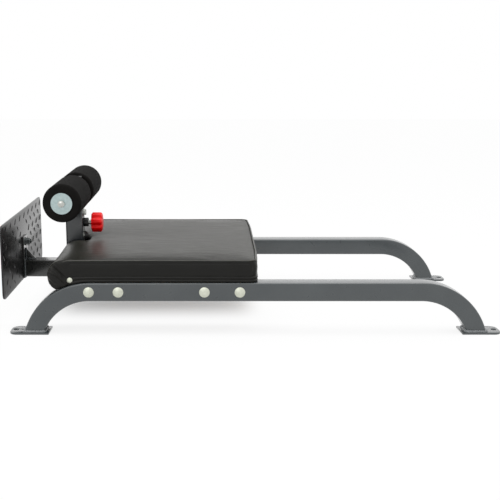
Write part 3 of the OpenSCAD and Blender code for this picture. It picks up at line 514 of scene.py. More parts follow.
for name, y in (("near", -RAIL_Y), ("far", RAIL_Y)):
    points = rail_points(y)
    rows, cols = points.shape[:2]
    faces = grid_faces(rows, cols, False, True).tolist()
    faces += [list(range(cols)), list(range((rows - 1) * cols, rows * cols))]
    rail = tidy(add_object(name + "_rail_skin", points, faces))
    rail.data.set_sharp_from_angle(angle=math.radians(50))
    paint(rail, slate, "frame", "slate_paint", name + "_side_rail")
print("rails:", rows, "x", cols, "points each")

# %% [markdown]
# ## Weld beads
#
# A weld bead is a row of small puddles of steel that froze one after the other. A tube that
# follows the joint, with a radius that swells and shrinks along its length, reads as one.

# %% Weld beads
def bead(name, path, radius, ripple=0.0042, closed=True, seed=1, look=slate):
    """Tube along the joint. Its radius is the mean times 1 plus a ripple and slow noise."""
    path = np.asarray(path, float)
    step = np.linalg.norm(np.diff(path, axis=0), axis=1)
    along = np.concatenate([[0], np.cumsum(step)])
    count = max(12, int(along[-1] / (ripple / 5)))
    t = np.linspace(0, along[-1], count, endpoint=not closed)
    dense = np.stack([np.interp(t, along, path[:, k]) for k in range(3)], 1)
    rng = np.random.default_rng(seed)
    slow = np.interp(t, np.linspace(0, along[-1], 12), rng.normal(0, 0.09, 12))
    swell = 1 + 0.16 * np.abs(np.sin(math.pi * t / ripple)) + slow
    dense += rng.normal(0, radius * 0.03, dense.shape)
    obj = tube(name, dense, radius * swell, 8, closed)
    return paint(obj, look, "frame", "slate_paint")


def foot_outline(sign_x, y):
    """The rail's section where it meets the plate: its outline between the two arcs."""
    section = rounded_square(TUBE + 0.001, CORNER, 5)
    rho = BEND_R + section[:, 0]
    low = RAIL_Z - BEND_R
    x = BEND_X + np.sqrt(rho**2 - (FOOT_Z + 0.001 - low) ** 2)
    p = np.stack([sign_x * x, y + section[:, 1], np.full(len(x), FOOT_Z + 0.001)], 1)
    return np.concatenate([p, p[:1]])


seed = 10
for sx, end in ((-1, "tread_end"), (1, "hand_end")):
    for sy, side in ((-1, "near"), (1, "far")):
        seed += 1
        outline = foot_outline(sx, sy * RAIL_Y)
        bead(f"{side}_{end}_foot_bead", outline, 0.0044, 0.0056, seed=seed, look=bead_coat_painted_highlight)
print("foot beads:", seed - 10)

# %% [markdown]
# The other beads follow a tube's outline too: round the post on the spine, round the spine on
# its end plate, and round the cross tubes at the flanges and at the spine. The gusset has an
# open bead along its two straight edges, on both of its faces.

# %% Weld beads on the spine
SPINE_TOP, SPINE_MID, POST_X, END_PLATE_X = 0.135, 0.110, -0.521, -0.6705
WEB_X, WEB_TIP_X, WEB_Y, WEB_LOW, WEB_HIGH = -0.6698, -0.6410, 0.0028, 0.1362, 0.168
FLANGE_Y, SPINE_Y, FLANGE_MID, CROSS_MID = 0.2695, 0.0255, 0.114, 0.1115
ring = rounded_square(TUBE + 0.001, CORNER, 5)
ring = np.concatenate([ring, ring[:1]])
u, v = ring.T
same = np.ones(len(ring))
bead("post_bead", np.column_stack([POST_X + u, v, same * (SPINE_TOP + 0.001)]), 0.003, seed=31)
plate_ring = np.column_stack([same * END_PLATE_X, v * 0.96, SPINE_MID + u])
bead("end_plate_bead", plate_ring, 0.0026, seed=32)
for s, side in ((-1, "near"), (1, "far")):
    y = s * WEB_Y
    web = [(WEB_X, y, WEB_HIGH), (WEB_X, y, WEB_LOW), (WEB_TIP_X, y, WEB_LOW)]
    bead(f"gusset_bead_{side}", web, 0.0018, closed=False, seed=40 + s)
for x, end in ((-0.4035, "front"), (-0.089, "rear")):
    for s, side in ((-1, "near"), (1, "far")):
        out_ring = np.column_stack([x + u, same * (s * FLANGE_Y), FLANGE_MID + v * 0.86])
        bead(f"{side}_{end}_flange_bead", out_ring, 0.0026, seed=50 + s)
        in_ring = np.column_stack([x + u * 0.96, same * (s * SPINE_Y), CROSS_MID + v * 0.84])
        bead(f"{side}_{end}_spine_bead", in_ring, 0.0026, seed=60 + s)

# %% [markdown]
# ## Tread plate
#
# The footrest is a glossy black plate of 5 mm with round corners. Its outline is carried from
# one face to the other, and drawn in by less than a millimetre at both, so that its rim
# catches the light as a brushed one does.

# %% Tread plate
PLATE_X, PLATE_T, PLATE_W, PLATE_H = -0.676, 0.005, 0.560, 0.203
PLATE_MID, PLATE_R = 0.1805, 0.018


def rounded_rectangle(w, h, r, steps=10):
    """Points round a rectangle with round corners."""
    a = np.linspace(0, math.pi / 2, steps)
    q = np.stack([np.cos(a), np.sin(a)], 1) * r
    out = []
    for k, (sx, sz) in enumerate(((1, 1), (-1, 1), (-1, -1), (1, -1))):
        c, s = math.cos(k * math.pi / 2), math.sin(k * math.pi / 2)
        out.append(q @ np.array([[c, s], [-s, c]]) + [sx * (w / 2 - r), sz * (h / 2 - r)])
    return np.concatenate(out)


def slab(name, outline, low, high, edge):
    """A plate from an outline: rims drawn in by edge at both faces, as a sawn and brushed
    edge is. outline gives points in (Y, Z), and the plate lies between two values of X."""
    mid = outline.mean(0)
    size = np.abs(outline - mid).max(0)
    rows = []
    for x, inset in ((low, edge), (low + edge * 0.3, edge * 0.3), (low + edge, 0),
                     (high - edge, 0), (high - edge * 0.3, edge * 0.3), (high, edge)):
        ring = mid + (outline - mid) * (1 - inset / size)
        rows.append(np.column_stack([np.full(len(ring), x), ring]))
    points = np.stack(rows)
    n, cols = points.shape[:2]
    faces = grid_faces(n, cols, False, True).tolist()
    faces += [list(range(cols)), list(range((n - 1) * cols, n * cols))]
    obj = tidy(add_object(name, points, faces))
    obj.data.set_sharp_from_angle(angle=math.radians(40))
    return obj


outline = rounded_rectangle(PLATE_W, PLATE_H, PLATE_R) + [0, PLATE_MID]
plate = slab("tread_plate_skin", outline, PLATE_X - PLATE_T, PLATE_X, 0.0008)
paint(plate, gloss_black, "frame", "tread_gloss", "tread_plate")
print("tread plate:", len(outline), "points round")

# %% [markdown]
# The plate has raised lugs, so that shoes don't slip. A lug is lens-shaped. The lugs of a row
# all lean one way, those of the next row the other way and half a step along. All lugs are one
# mesh: a small dome of points, turned and shifted by numpy for every place of the pattern.

# %% Tread lugs
LUG_L, LUG_W, LUG_H, LUG_STEP_Y, LUG_STEP_Z = 0.025, 0.0064, 0.0017, 0.062, 0.024
LUG_LEAN, LUG_MARGIN, BOLT_ROOM = math.radians(46), 0.030, 0.030


def lugs():
    """Each lug is a lens of 9 x 5 points. With c for the cosine that is 1 in its middle and 0
    at its tips, its half width is c to the power 0.8, and its height the root of c, less the
    square of the distance from its ridge. None is near the rim or behind the end plate."""
    u, v = np.meshgrid(np.linspace(-1, 1, 9), np.linspace(-1, 1, 5))
    c = np.cos(u * math.pi / 2)
    half = LUG_W / 2 * c**0.8
    lens = np.stack([u * LUG_L / 2, v * half, LUG_H * (1 - v**2) * c**0.5], -1)
    i, j = np.meshgrid(np.arange(10), np.arange(8))
    y = (i - 4.5 + 0.25 * (-1.0) ** j) * LUG_STEP_Y
    z = (j - 3.5) * LUG_STEP_Z
    turn = (-1.0) ** (j + 1) * LUG_LEAN
    past_y = np.maximum(np.abs(y) - (PLATE_W / 2 - LUG_MARGIN), 0)
    past_z = np.maximum(np.abs(z) - (PLATE_H / 2 - LUG_MARGIN), 0)
    inside = np.hypot(past_y, past_z) < 0.020
    inside &= (np.abs(y) > BOLT_ROOM) | (z < -0.045) | (z > 0.062)
    y, z, turn = y[inside], z[inside], turn[inside]
    c, s = np.cos(turn)[:, None, None], np.sin(turn)[:, None, None]
    py = y[:, None, None] + lens[None, ..., 0] * c - lens[None, ..., 1] * s
    pz = PLATE_MID + z[:, None, None] + lens[None, ..., 0] * s + lens[None, ..., 1] * c
    px = np.broadcast_to(PLATE_X - 0.0001 + lens[..., 2], py.shape)
    points = np.stack([px, py, pz], -1)
    one = grid_faces(5, 9)
    faces = (one[None] + 45 * np.arange(len(y))[:, None, None]).reshape(-1, 4)
    return points, faces, len(y)


points, faces, count = lugs()
tread = add_object("tread_lugs", points, faces)
paint(tread, gloss_black, "frame", "tread_gloss")
print("tread lugs:", count)

# %% [markdown]
# ## Foam rollers
#
# A roller is turned: one outline, spun round the axle. The outline has a round shoulder and
# an end face that sinks in a little where the washer presses on it. Foam isn't exactly
# round, so a slow wave in the radius makes it look soft.

# %% Foam rollers
AXLE_X, AXLE_Z, BORE = -0.521, 0.337, 0.0125
FOAM_R, FOAM_0, FOAM_1, FOAM_EDGE = 0.053, 0.0278, 0.2328, 0.008


def roller_points(sign, seed):
    """Radius and place along the axle of each outline point, spun in 96 steps. A slow wave
    round and along the roller lowers the radius by some tenths of a millimetre."""
    a = np.linspace(0, math.pi / 2, 9)
    length = FOAM_1 - FOAM_0
    shoulder_r = FOAM_R - FOAM_EDGE + FOAM_EDGE * np.sin(a)
    shoulder = np.stack([shoulder_r, FOAM_EDGE * (1 - np.cos(a))], 1)
    face_r = np.linspace(BORE, FOAM_R - FOAM_EDGE, 9)[:-1]
    face = np.stack([face_r, 0.0012 * np.exp(-((face_r - 0.018) / 0.010) ** 2)], 1)
    half = np.concatenate([face, shoulder])
    body = np.stack([np.full(30, FOAM_R), np.linspace(FOAM_EDGE, length - FOAM_EDGE, 32)[1:-1]], 1)
    outline = np.concatenate([half, body, (half * [1, -1] + [0, length])[::-1]])
    bore = np.stack([np.full(2, BORE), [length * 0.7, length * 0.3]], 1)
    outline = np.concatenate([outline, bore])
    turn = np.linspace(0, 2 * math.pi, 96, endpoint=False)
    rng = np.random.default_rng(seed)
    wave = np.zeros((len(outline), len(turn)))
    for k in range(1, 7):
        p, q = rng.uniform(0, 2 * math.pi, 2)
        wave += np.sin(k * turn[None] + p) * np.cos(outline[:, 1:] / length * k * 2 + q) / k
    fall = np.clip((outline[:, :1] - 0.03) / 0.02, 0, 1)
    r = outline[:, :1] - fall * 0.00035 * (1 + wave / 2)
    y = np.broadcast_to(sign * (FOAM_0 + outline[:, 1:]), r.shape)
    return np.stack([AXLE_X + r * np.cos(turn), y, AXLE_Z + r * np.sin(turn)], -1)


for sign, side in ((-1, "near"), (1, "far")):
    points = roller_points(sign, 5 + sign)
    rows, cols = points.shape[:2]
    roller = tidy(add_object(side + "_roller_foam", points, grid_faces(rows, cols, True, True)))
    paint(roller, foam_black, side + "_roller", "roller_foam", side + "_foam_roller")
print("rollers:", rows, "x", cols, "points each")

# %% [markdown]
# ## Hand knob
#
# The knob has seven lobes for the fingers. Seen along the pin, its outline is a circle whose
# radius dips seven times a turn. Stations along the pin shrink that outline at both ends: the
# face towards the post has a small round edge, the outer face is domed, and a short narrow
# hub meets the pin.

# %% Hand knob
KNOB_X0, KNOB_R, KNOB_Z, HUB = -0.476, 0.0295, 0.246, 0.007
LOBES, GROOVE, FIRST_LOBE = 7, 0.0044, math.radians(-24.3)


def knob_points():
    """Radius at angle a: that of the knob less the groove times (1 - cos 7a) / 2 to the power
    1.6, so lobes are broad and grooves narrow, and then times the share of the station."""
    a = np.linspace(0, 2 * math.pi, 224, endpoint=False)
    lobed = KNOB_R - GROOVE * (0.5 - 0.5 * np.cos(LOBES * (a - FIRST_LOBE))) ** 1.6
    hub = [(0.0, 0.0055), (0.0, 0.0066), (0.0004, HUB), (0.0040, HUB)]
    body = [
        (0.0041, 0.34), (0.0042, 0.60), (0.0042, 0.84), (0.0045, 0.91), (0.0053, 0.965),
        (0.0066, 0.992), (0.0085, 1.0), (0.0285, 1.0), (0.0303, 0.992), (0.0320, 0.965),
        (0.0336, 0.91), (0.0349, 0.83), (0.0358, 0.74), (0.0364, 0.62), (0.0367, 0.45),
        (0.0368, 0.25), (0.0368, 0.01),
    ]
    radius = [np.full(len(a), r) for _, r in hub] + [share * lobed for _, share in body]
    x = np.array([p for p, _ in hub + body])[:, None] + KNOB_X0
    radius = np.array(radius)
    x = np.broadcast_to(x, radius.shape)
    return np.stack([x, radius * np.sin(a), KNOB_Z + radius * np.cos(a)], -1)


points = knob_points()
rows, cols = points.shape[:2]
faces = grid_faces(rows, cols, False, True).tolist()
faces += [list(range((rows - 1) * cols, rows * cols)), list(range(cols))]
knob = tidy(add_object("lobed_knob", points, faces))
knob.data.set_sharp_from_angle(angle=math.radians(60))
paint(knob, red_plastic, "knob_body", "red_knob", "knob")
print("knob:", rows, "x", cols, "points")

# %% [markdown]
# ## Knee pad
#
# The pad is foam on a plywood board under a tight vinyl cover. Its form is a stack of closed
# outlines, one for each distance from the pad's side. An outline runs over the top, round the
# bull nose, back along the underside, which follows the rails over their bends, and up the
# end wall. The form starts a little slack: its top is flat, and air pressure fills it later.
# Numbers in this part are millimetres until the mesh is made.

# %% Knee pad: one outline
# the pad's ends along X, its width, and its flat underside and top
PAD_END, PAD_TIP, PAD_W, PAD_LOW, PAD_TOP = 8.0, -554.0, 640.0, 139.3, 199.0
# radii of the top's edge and of the corners at the hand end and the nose
FOLD_R, END_R, NOSE_R = 3.0, 24.0, 12.0
# where the nose starts on top, its height, and where it starts below
NOSE_X, NOSE_Z, NOSE_LOW = -512.0, 155.0, -526.0
# middle and radius of the arc under the pad, over the rails' bends
BEND_MID, BEND_LOW, UNDER_R = -440.0, -44.0, 183.8
# how far sides and corners are drawn in, and the room that is left for the side band
SIDES_IN, CORNERS_IN, BAND_ROOM = 2.5, 4.2, 1.8


def corner_cut(r, d):
    """How far a round corner of radius r steps back at distance d from the edge: r less the
    root of r squared less the square of what is left of r."""
    return r - np.sqrt(np.maximum(r**2 - np.clip(r - d, 0, r) ** 2, 0))


def drawn_in(x):
    """How far the sides are pulled in: half a sine from the nose to the hand end."""
    return SIDES_IN * np.clip(np.sin(math.pi * (x - PAD_TIP) / (PAD_END - PAD_TIP)), 0, None)


def end_drawn_in(x, y):
    """How far the hand end is pulled in towards its two corners, where thread holds it: from
    nothing at 180 mm off the middle to all of it at 300 mm."""
    return CORNERS_IN * smooth((np.abs(y) - 180) / 120) * smooth((x + 100) / 100)


def pad_top(x, d):
    """Height of the top: flat, with a circle of the fold's radius at the edges."""
    end = PAD_END - corner_cut(END_R, d)
    e = np.hypot(np.clip(FOLD_R - (end - x), 0, None), np.clip(FOLD_R - d, 0, None))
    return PAD_TOP - (FOLD_R - np.sqrt(FOLD_R**2 - np.minimum(FOLD_R, e) ** 2))


def pad_under(x, d):
    """Height of the underside: flat, then an arc over the rails' bends, then the nose."""
    arc = BEND_LOW + np.sqrt(UNDER_R**2 - np.minimum(0, x - BEND_MID) ** 2)
    low = BEND_LOW + math.sqrt(UNDER_R**2 - (NOSE_LOW - BEND_MID) ** 2)
    reach = NOSE_LOW - PAD_TIP - corner_cut(NOSE_R, d)
    share = np.clip((NOSE_LOW - x) / reach, 0, 1)
    nose = NOSE_Z - (NOSE_Z - low) * np.sqrt(1 - share**2)
    return np.where(x >= BEND_MID, PAD_LOW, np.where(x >= NOSE_LOW, arc, nose))


def pad_loop(d):
    """One closed outline at distance d from the side, as (x, z)."""
    end, tip = PAD_END - corner_cut(END_R, d), PAD_TIP + corner_cut(NOSE_R, d)
    near_end = end - FOLD_R * (1 - np.cos(np.linspace(0, math.pi / 2, 8)))
    top_x = np.concatenate([near_end, np.linspace(near_end[-1], NOSE_X, 60)[1:]])
    top = np.stack([top_x, pad_top(top_x, d)], 1)
    a = np.linspace(0, math.pi / 2, 18)[1:]
    rise = pad_top(np.array(NOSE_X), d) - NOSE_Z
    nose = np.stack([NOSE_X - (NOSE_X - tip) * np.sin(a), NOSE_Z + rise * np.cos(a)], 1)
    low_nose = NOSE_LOW - (NOSE_LOW - tip) * np.cos(a[:-1])
    low_x = np.concatenate([low_nose, np.linspace(NOSE_LOW, end, 70)])
    under = np.stack([low_x, pad_under(low_x, d)], 1)
    h = np.linspace(0, 1, 12)[1:-1]
    wall = np.stack([np.full(10, end), PAD_LOW + (pad_top(np.array(end), d) - PAD_LOW) * h], 1)
    return np.concatenate([top, nose, under, wall])


print("outline in the middle:", len(pad_loop(PAD_W / 2)), "points")

# %% [markdown]
# The outlines are stacked from the near side to the far side, close together at the rounded
# edges and wide apart between them. Then the sides and the hand end are drawn in, where thread
# pulls on them, and both sides are closed.

# %% Knee pad: the form
def pad_form(name):
    """Stacks the outlines across the pad and closes both sides. The walls stand back by the
    thickness of the side band, which comes later, but not at the nose, where it ends."""
    t = np.linspace(0, math.pi / 2, 14)
    d = np.concatenate([END_R * (1 - np.cos(t)), np.linspace(END_R, PAD_W / 2, 14)[1:]])
    loops = [pad_loop(v) for v in d]
    n = len(loops[0])
    side = np.array([
        np.column_stack([loop[:, 0], np.full(n, PAD_W / 2 - away), loop[:, 1]])
        for loop, away in zip(loops, d)
    ])
    points = np.concatenate([side * [1, -1, 1], side[::-1][1:]])
    x, y = points[..., 0].copy(), points[..., 1]
    back = drawn_in(x) + BAND_ROOM * smooth((x + 512) / 30)
    points[..., 0] -= BAND_ROOM * smooth((x + 100) / 100) + end_drawn_in(x, y)
    points[..., 1] -= np.sign(y) * back * smooth((np.abs(y) - 150) / 120)
    obj = add_object(name, points / 1000, grid_faces(len(points), n, False, True))
    bm = bmesh.new()
    bm.from_mesh(obj.data)
    bmesh.ops.remove_doubles(bm, verts=bm.verts, dist=1e-5)
    bmesh.ops.holes_fill(bm, edges=[e for e in bm.edges if e.is_boundary])
    bmesh.ops.recalc_face_normals(bm, faces=bm.faces)
    bm.to_mesh(obj.data)
    bm.free()
    return obj


pad = pad_form("knee_pad")
print("pad form:", len(pad.data.vertices), "points")

# %% [markdown]
# The post stands in a notch in the nose. A plain block cuts it out, and a voxel remesh then
# gives the whole cushion even faces, which the cloth needs to move evenly.

# %% Knee pad: notch and even faces
VOXEL = 0.0072
bpy.ops.mesh.primitive_cube_add(size=1)
cutter = bpy.context.object
cutter.data.transform(Matrix.Diagonal((0.120, 0.062, 0.2, 1)))
cutter.data.transform(Matrix.Translation((-0.538, 0, 0.17)))
notch = pad.modifiers.new("notch", "BOOLEAN")
notch.operation, notch.object, notch.solver = "DIFFERENCE", cutter, "EXACT"
even = pad.modifiers.new("even", "REMESH")
even.mode, even.voxel_size, even.use_smooth_shade = "VOXEL", VOXEL, True
apply_modifiers(pad)
bpy.data.objects.remove(cutter)
print("even mesh:", len(pad.data.polygons), "faces")

# %% [markdown]
# ## Air in the cushion
#
# The cover is cloth that holds its foam under a little pressure. Points at the seam, on the
# walls, underneath and in the notch are pinned, as staples and thread hold them, so the top
# and the nose fill out between them. A real cover can't rise without end: each point has a
# limit, full in the middle and less within 75 mm of the seam. A tanh keeps small moves as
# they are and levels large ones off at that limit, so the top rolls down to its edges.

# %% What holds the cover
CAP, SEAM_CAP, ROLL = 7.6, 0.2, 75.0


def read_points(obj):
    """All points of a mesh as an array of rows."""
    flat = np.empty(len(obj.data.vertices) * 3)
    obj.data.vertices.foreach_get("co", flat)
    return flat.reshape(-1, 3)


def write_points(obj, points):
    """Puts an array of rows back into the mesh."""
    obj.data.vertices.foreach_set("co", points.ravel())
    obj.data.update()


def held(p):
    """True for points that thread, staples or the board hold in place: the walls, the sides
    of the notch, and everything low down."""
    x, y, z = p.T * 1000
    wall = (np.abs(y) > PAD_W / 2 - 7) | (x > PAD_END - 7)
    slot = (np.abs(y) < 36) & (x < -472)
    return wall | slot | (z < 142) & (x > NOSE_X) | (z < 128)


def limit(p):
    """Highest move of each point, in metres. With q for how far the point is inside the
    75 mm that roll down, it is the cap less 7.4 mm times q squared over 75 squared."""
    x, y, _ = p.T * 1000
    from_end, from_side = PAD_END - x, PAD_W / 2 - np.abs(y)
    q = np.hypot(np.clip(ROLL - from_end, 0, None), np.clip(ROLL - from_side, 0, None))
    return (CAP - (CAP - SEAM_CAP) * np.clip(q / ROLL, 0, 1) ** 2) / 1000


start = read_points(pad)
print("held points:", int(held(start).sum()), "of", len(start))

# %% [markdown]
# The cloth runs for 20 frames without gravity, and only its last frame counts. One
# subdivision afterwards makes the cushion's faces fine enough.

# %% Air in the cushion
def air(obj, frames=20):
    """Cloth with pressure 4 and no gravity, stepped through its frames. Returns how far
    each point went."""
    start = read_points(obj)
    group = obj.vertex_groups.new(name="held")
    group.add(np.nonzero(held(start))[0].tolist(), 1.0, "REPLACE")
    cloth = obj.modifiers.new("air", "CLOTH")
    rules = cloth.settings
    rules.quality, rules.mass, rules.use_pressure = 5, 0.3, True
    rules.uniform_pressure_force = 4.0
    rules.effector_weights.gravity = 0.0
    rules.vertex_group_mass = "held"
    for f in range(1, frames + 1):
        scene.frame_set(f)
    move = read_points(obj.evaluated_get(bpy.context.evaluated_depsgraph_get())) - start
    obj.modifiers.remove(cloth)
    obj.vertex_groups.clear()
    scene.frame_set(1)
    return move


move = air(pad)
size = np.linalg.norm(move, axis=1)
most = limit(start)
moved = most * np.tanh(size / most)
write_points(pad, start + move * (moved / np.maximum(size, 1e-9))[:, None])
finer = pad.modifiers.new("finer", "SUBSURF")
finer.levels = finer.render_levels = 1
apply_modifiers(pad)
print("air moved points by up to", round(size.max() * 1000, 1), "mm")
print("kept of that: up to", round(moved.max() * 1000, 1), "mm")

# %% [markdown]
# ## Folds at the nose
#
# Where the cover is pulled round the nose and down under the board, its sides gather in long
# folds. They run down to the side screw, side by side. Each one is a bell curve across its
# own line: a ridge stands out, a crease cuts in.

# %% Folds at the nose
FOLD_UP = np.array([0.59, 0.81])
# of each fold: its place across the folds, its height and its width, in millimetres
FOLDS = [
    (22.0, 1.2, 3.4), (13.0, -1.0, 2.4), (0.0, -3.0, 3.0), (-8.5, 3.6, 3.4), (-18.0, -1.8, 2.8),
    (-26.0, 2.2, 3.8), (-35.0, -1.4, 3.0), (-42.0, 1.0, 3.6),
]


def folds(p):
    """Outward move in metres. s is the distance across the folds from the longest crease,
    with a slow wave so that no two run quite parallel. Each fold adds its height times
    exp(-(s - place)^2 / 2 width^2). They end before the screw, the seam and the top."""
    x, y, z = p.T * 1000
    s = (x + 548) * FOLD_UP[0] + (z - 187) * FOLD_UP[1]
    s = s + 1.6 * np.sin(x / 7 + z / 15) + 0.08 * (x + 525)
    h = sum(height * np.exp(-((s - at) ** 2) / (2 * width**2)) for at, height, width in FOLDS)
    side = smooth((np.abs(y) - 296) / 16)
    reach = smooth((-497 - x) / 16) * smooth((196 - z) / 10) * smooth((z - 117) / 10)
    return h * side * reach / 1000


bm = bmesh.new()
bm.from_mesh(pad.data)
for _ in range(2):
    fine = [e for e in bm.edges if all(v.co.x < -0.490 and abs(v.co.y) > 0.290 for v in e.verts)]
    bmesh.ops.subdivide_edges(bm, edges=fine, cuts=1, use_grid_fill=True, smooth=0.6)
bm.to_mesh(pad.data)
bm.free()
pad.data.polygons.foreach_set("use_smooth", [True] * len(pad.data.polygons))
p = read_points(pad)
p[:, 1] += np.sign(p[:, 1]) * folds(p)
write_points(pad, p)
paint(pad, vinyl, "frame", "pad_vinyl", "pad_cushion")
print("cushion:", len(pad.data.polygons), "faces")

# %% [markdown]
# ## Side band, welt and stitches
#
# The sides of the cover are a band of their own, sewn to the top. The band is a section drawn
# along the pad's edge: from the rolled hem under the board, over two creases where the board's
# edge presses through, up to the seam, where it folds in under the welt. First come the
# section and the edge that it follows.

# %% Side band: section and edge
# section of the band from the hem to the seam: height, and how far it stands out
BAND = np.array([
    (139.5, -9.0), (139.3, -3.0), (139.5, -1.2), (140.3, -0.2), (141.6, 0.3), (143.2, 0.2),
    (144.8, -0.5), (146.4, -1.7), (147.4, -1.4), (148.6, -0.3), (150.2, 0.5), (151.6, 0.7),
    (152.8, 0.3), (153.8, -0.6), (154.9, -1.6), (155.9, -1.3), (157.0, -0.3), (158.5, 0.2),
    (161.0, 0.5), (165.0, 1.0), (170.0, 1.4), (175.0, 1.5), (180.0, 1.3), (184.0, 0.9),
    (187.0, 0.5), (189.3, 0.0), (190.6, -0.6), (191.8, -0.1), (193.0, 0.2), (194.2, -0.1),
    (195.2, -0.8), (196.0, -1.8), (196.6, -3.2),
])


def pad_edge(start_x, step=3.0, inset=0.0):
    """Points along the pad's side, round the hand end and back, and the way out at each."""
    r, w = END_R, PAD_W / 2
    n = int((PAD_END - r - start_x) / step)
    x = np.linspace(start_x, PAD_END - r, n, endpoint=False)
    near = np.column_stack([x, np.full(n, -w)])
    a = np.linspace(-math.pi / 2, 0, 12, endpoint=False)
    turn = np.column_stack([PAD_END - r + r * np.cos(a), r - w + r * np.sin(a)])
    y = np.linspace(r - w, 0, int((w - r) / step))
    end = np.column_stack([np.full(len(y), PAD_END), y])
    half = np.concatenate([near, turn, end])
    out = np.concatenate([np.tile([0.0, -1.0], (n, 1)), np.column_stack([np.cos(a), np.sin(a)]),
                          np.tile([1.0, 0.0], (len(y), 1))])
    path = np.concatenate([half, (half * [1, -1])[::-1][1:]])
    out = np.concatenate([out, (out * [1, -1])[::-1][1:]])
    x, y = path.T.copy()
    path[:, 0] -= end_drawn_in(x, y)
    path[:, 1] -= np.sign(y) * drawn_in(x) * np.abs(out[:, 1])
    return path - out * inset, out


print("section:", len(BAND), "points, edge:", len(pad_edge(-512.0)[0]), "points")

# %% [markdown]
# The section then stands on every point of the edge. Slow waves keep the band from looking
# machined, and near the hand end's corners it is gathered in small upright wrinkles.

# %% Side band
def band_points():
    """Section times edge. At the nose the band sinks by 4 mm into the cushion over 30 mm.
    Low on the hand end it stands 2 mm further out, to clear the plywood."""
    path, out = pad_edge(-512.0)
    rows, cols = len(path), len(BAND)
    stand = np.broadcast_to(BAND[:, 1], (rows, cols)).copy()
    sink = 4.0 * smooth((-478 - path[:, 0]) / 30)
    z = np.broadcast_to(BAND[:, 0], (rows, cols)).copy()
    bend = BEND_LOW + np.sqrt(UNDER_R**2 - np.minimum(0, path[:, 0] - BEND_MID) ** 2) - PAD_LOW
    z += bend[:, None] * np.clip((160 - z) / 20, 0, 1)
    rng = np.random.default_rng(7)
    along = np.arange(rows) * 3.0
    corner = np.exp(-((np.abs(path[:, 0] - (PAD_END - 16)) / 26) ** 2)) * (np.abs(out[:, 1]) > 0.05)
    wave = sum(np.sin(along / w + rng.uniform(0, 6)) for w in (2.6, 4.1, 6.3))
    height = np.clip((z - 150) / 12, 0, 1) * np.clip((192 - z) / 14, 0, 1)
    slant = 0.25 * np.sin(along[:, None] / 17 + z / 9.0)
    slow = 0.35 * np.sin(along / 46)[:, None] * height + slant
    stand = stand + 0.5 * (corner * wave)[:, None] * height + slow * height - sink[:, None]
    xy = path[:, None] + out[:, None] * stand[..., None]
    square = 0.55 * end_drawn_in(path[:, 0], path[:, 1]) * np.abs(out[:, 0])
    xy += out[:, None] * (square[:, None] * smooth((160 - z) / 10))[..., None]
    return np.concatenate([xy, z[..., None]], -1)


points = band_points()
rows, cols = points.shape[:2]
band = tidy(add_object("pad_side_band", points / 1000, grid_faces(rows, cols)))
paint(band, vinyl, "frame", "pad_vinyl")
print("side band:", rows, "x", cols, "points")

# %% [markdown]
# The welt is a thin cord in a strip of vinyl, sewn into the seam all round. It is a tube along
# the pad's edge that gets thinner and sinks where it runs out at the nose.

# %% Welt
path, out = pad_edge(-520.0, inset=1.3)
ease = smooth((path[:, 0] + 520) / 34)
low = 198.3 - 9.0 * smooth((-497 - path[:, 0]) / 26)
inwards = 1.0 - ease + 2.2 * np.abs(out[:, 0])
welt_path = np.column_stack([path - out * inwards[:, None], low]) / 1000
welt = tube("pad_welt", welt_path, 0.0006 + 0.0011 * ease, 10, False)
# the welt's vinyl is much paler than the cover's: a painted highlight along the seam, which also
# lightens the shade in the seam's groove
welt_vinyl_painted_highlight = moulded("welt_vinyl_painted_highlight", linear(50, 50, 45), linear(64, 64, 58), 0.38, 900, 0.00004)
paint(welt, welt_vinyl_painted_highlight, "frame", "pad_vinyl")
print("welt:", len(welt_path), "stations")

# %% [markdown]
# A row of stitches lies on the top panel, 6.5 mm in from the edge. A ray cast down finds the
# cushion's surface at each place, so that every stitch lies half sunk in it.

# %% Stitches
STITCH_STEP, STITCH_HALF, THREAD_R = 5.6, 0.0020, 0.00042
thread = moulded("black_thread", linear(26, 26, 25), linear(36, 36, 34), 0.6, 2400, 0.00004)


def stitches():
    """Each stitch is a rod of 7 rings of 6 points along the edge, half sunk. Its radius is
    the thread's times the root of 1.02 less the square of the place along it, -1 to 1."""
    path, out = pad_edge(-500.0, step=1.0, inset=6.5)
    length = np.concatenate([[0], np.cumsum(np.linalg.norm(np.diff(path, axis=0), axis=1))])
    places = np.arange(2, length[-1] - 2, STITCH_STEP)
    x, y = np.interp(places, length, path[:, 0]), np.interp(places, length, path[:, 1])
    nx, ny = np.interp(places, length, out[:, 0]), np.interp(places, length, out[:, 1])
    points, faces = [], []
    up = np.array([0, 0, 1])
    turn = np.linspace(0, 2 * math.pi, 6, endpoint=False)[:, None]
    u = np.linspace(-1, 1, 7)
    radius = THREAD_R * np.sqrt(1.02 - u**2)[:, None, None]
    for k in range(len(places)):
        above = Vector((x[k] / 1000, y[k] / 1000, 0.25))
        hit, spot, _, _ = pad.ray_cast(above, Vector((0, 0, -1)))
        if not hit:
            continue
        ahead = np.array([-ny[k], nx[k], 0.0]) / math.hypot(nx[k], ny[k])
        ring = np.cos(turn) * np.cross(ahead, up) + np.sin(turn) * up
        rod = np.array(spot) + u[:, None, None] * STITCH_HALF * ahead + radius * ring
        faces += (grid_faces(7, 6, False, True) + 42 * len(points)).tolist()
        points.append(rod.reshape(-1, 3))
    return np.concatenate(points), faces, len(points)


points, faces, count = stitches()
seam = add_object("pad_stitches", points, faces)
paint(seam, thread, "frame", "pad_vinyl")
print("stitches:", count)

# %% [markdown]
# ## Floor, light and camera
#
# The bench stands on a white floor in a white room. Arithmetic nodes are the tools here: a
# smooth step between two places, a strip made of two such steps, and a number that is 1 for
# rays from the camera, a mirror or glass.

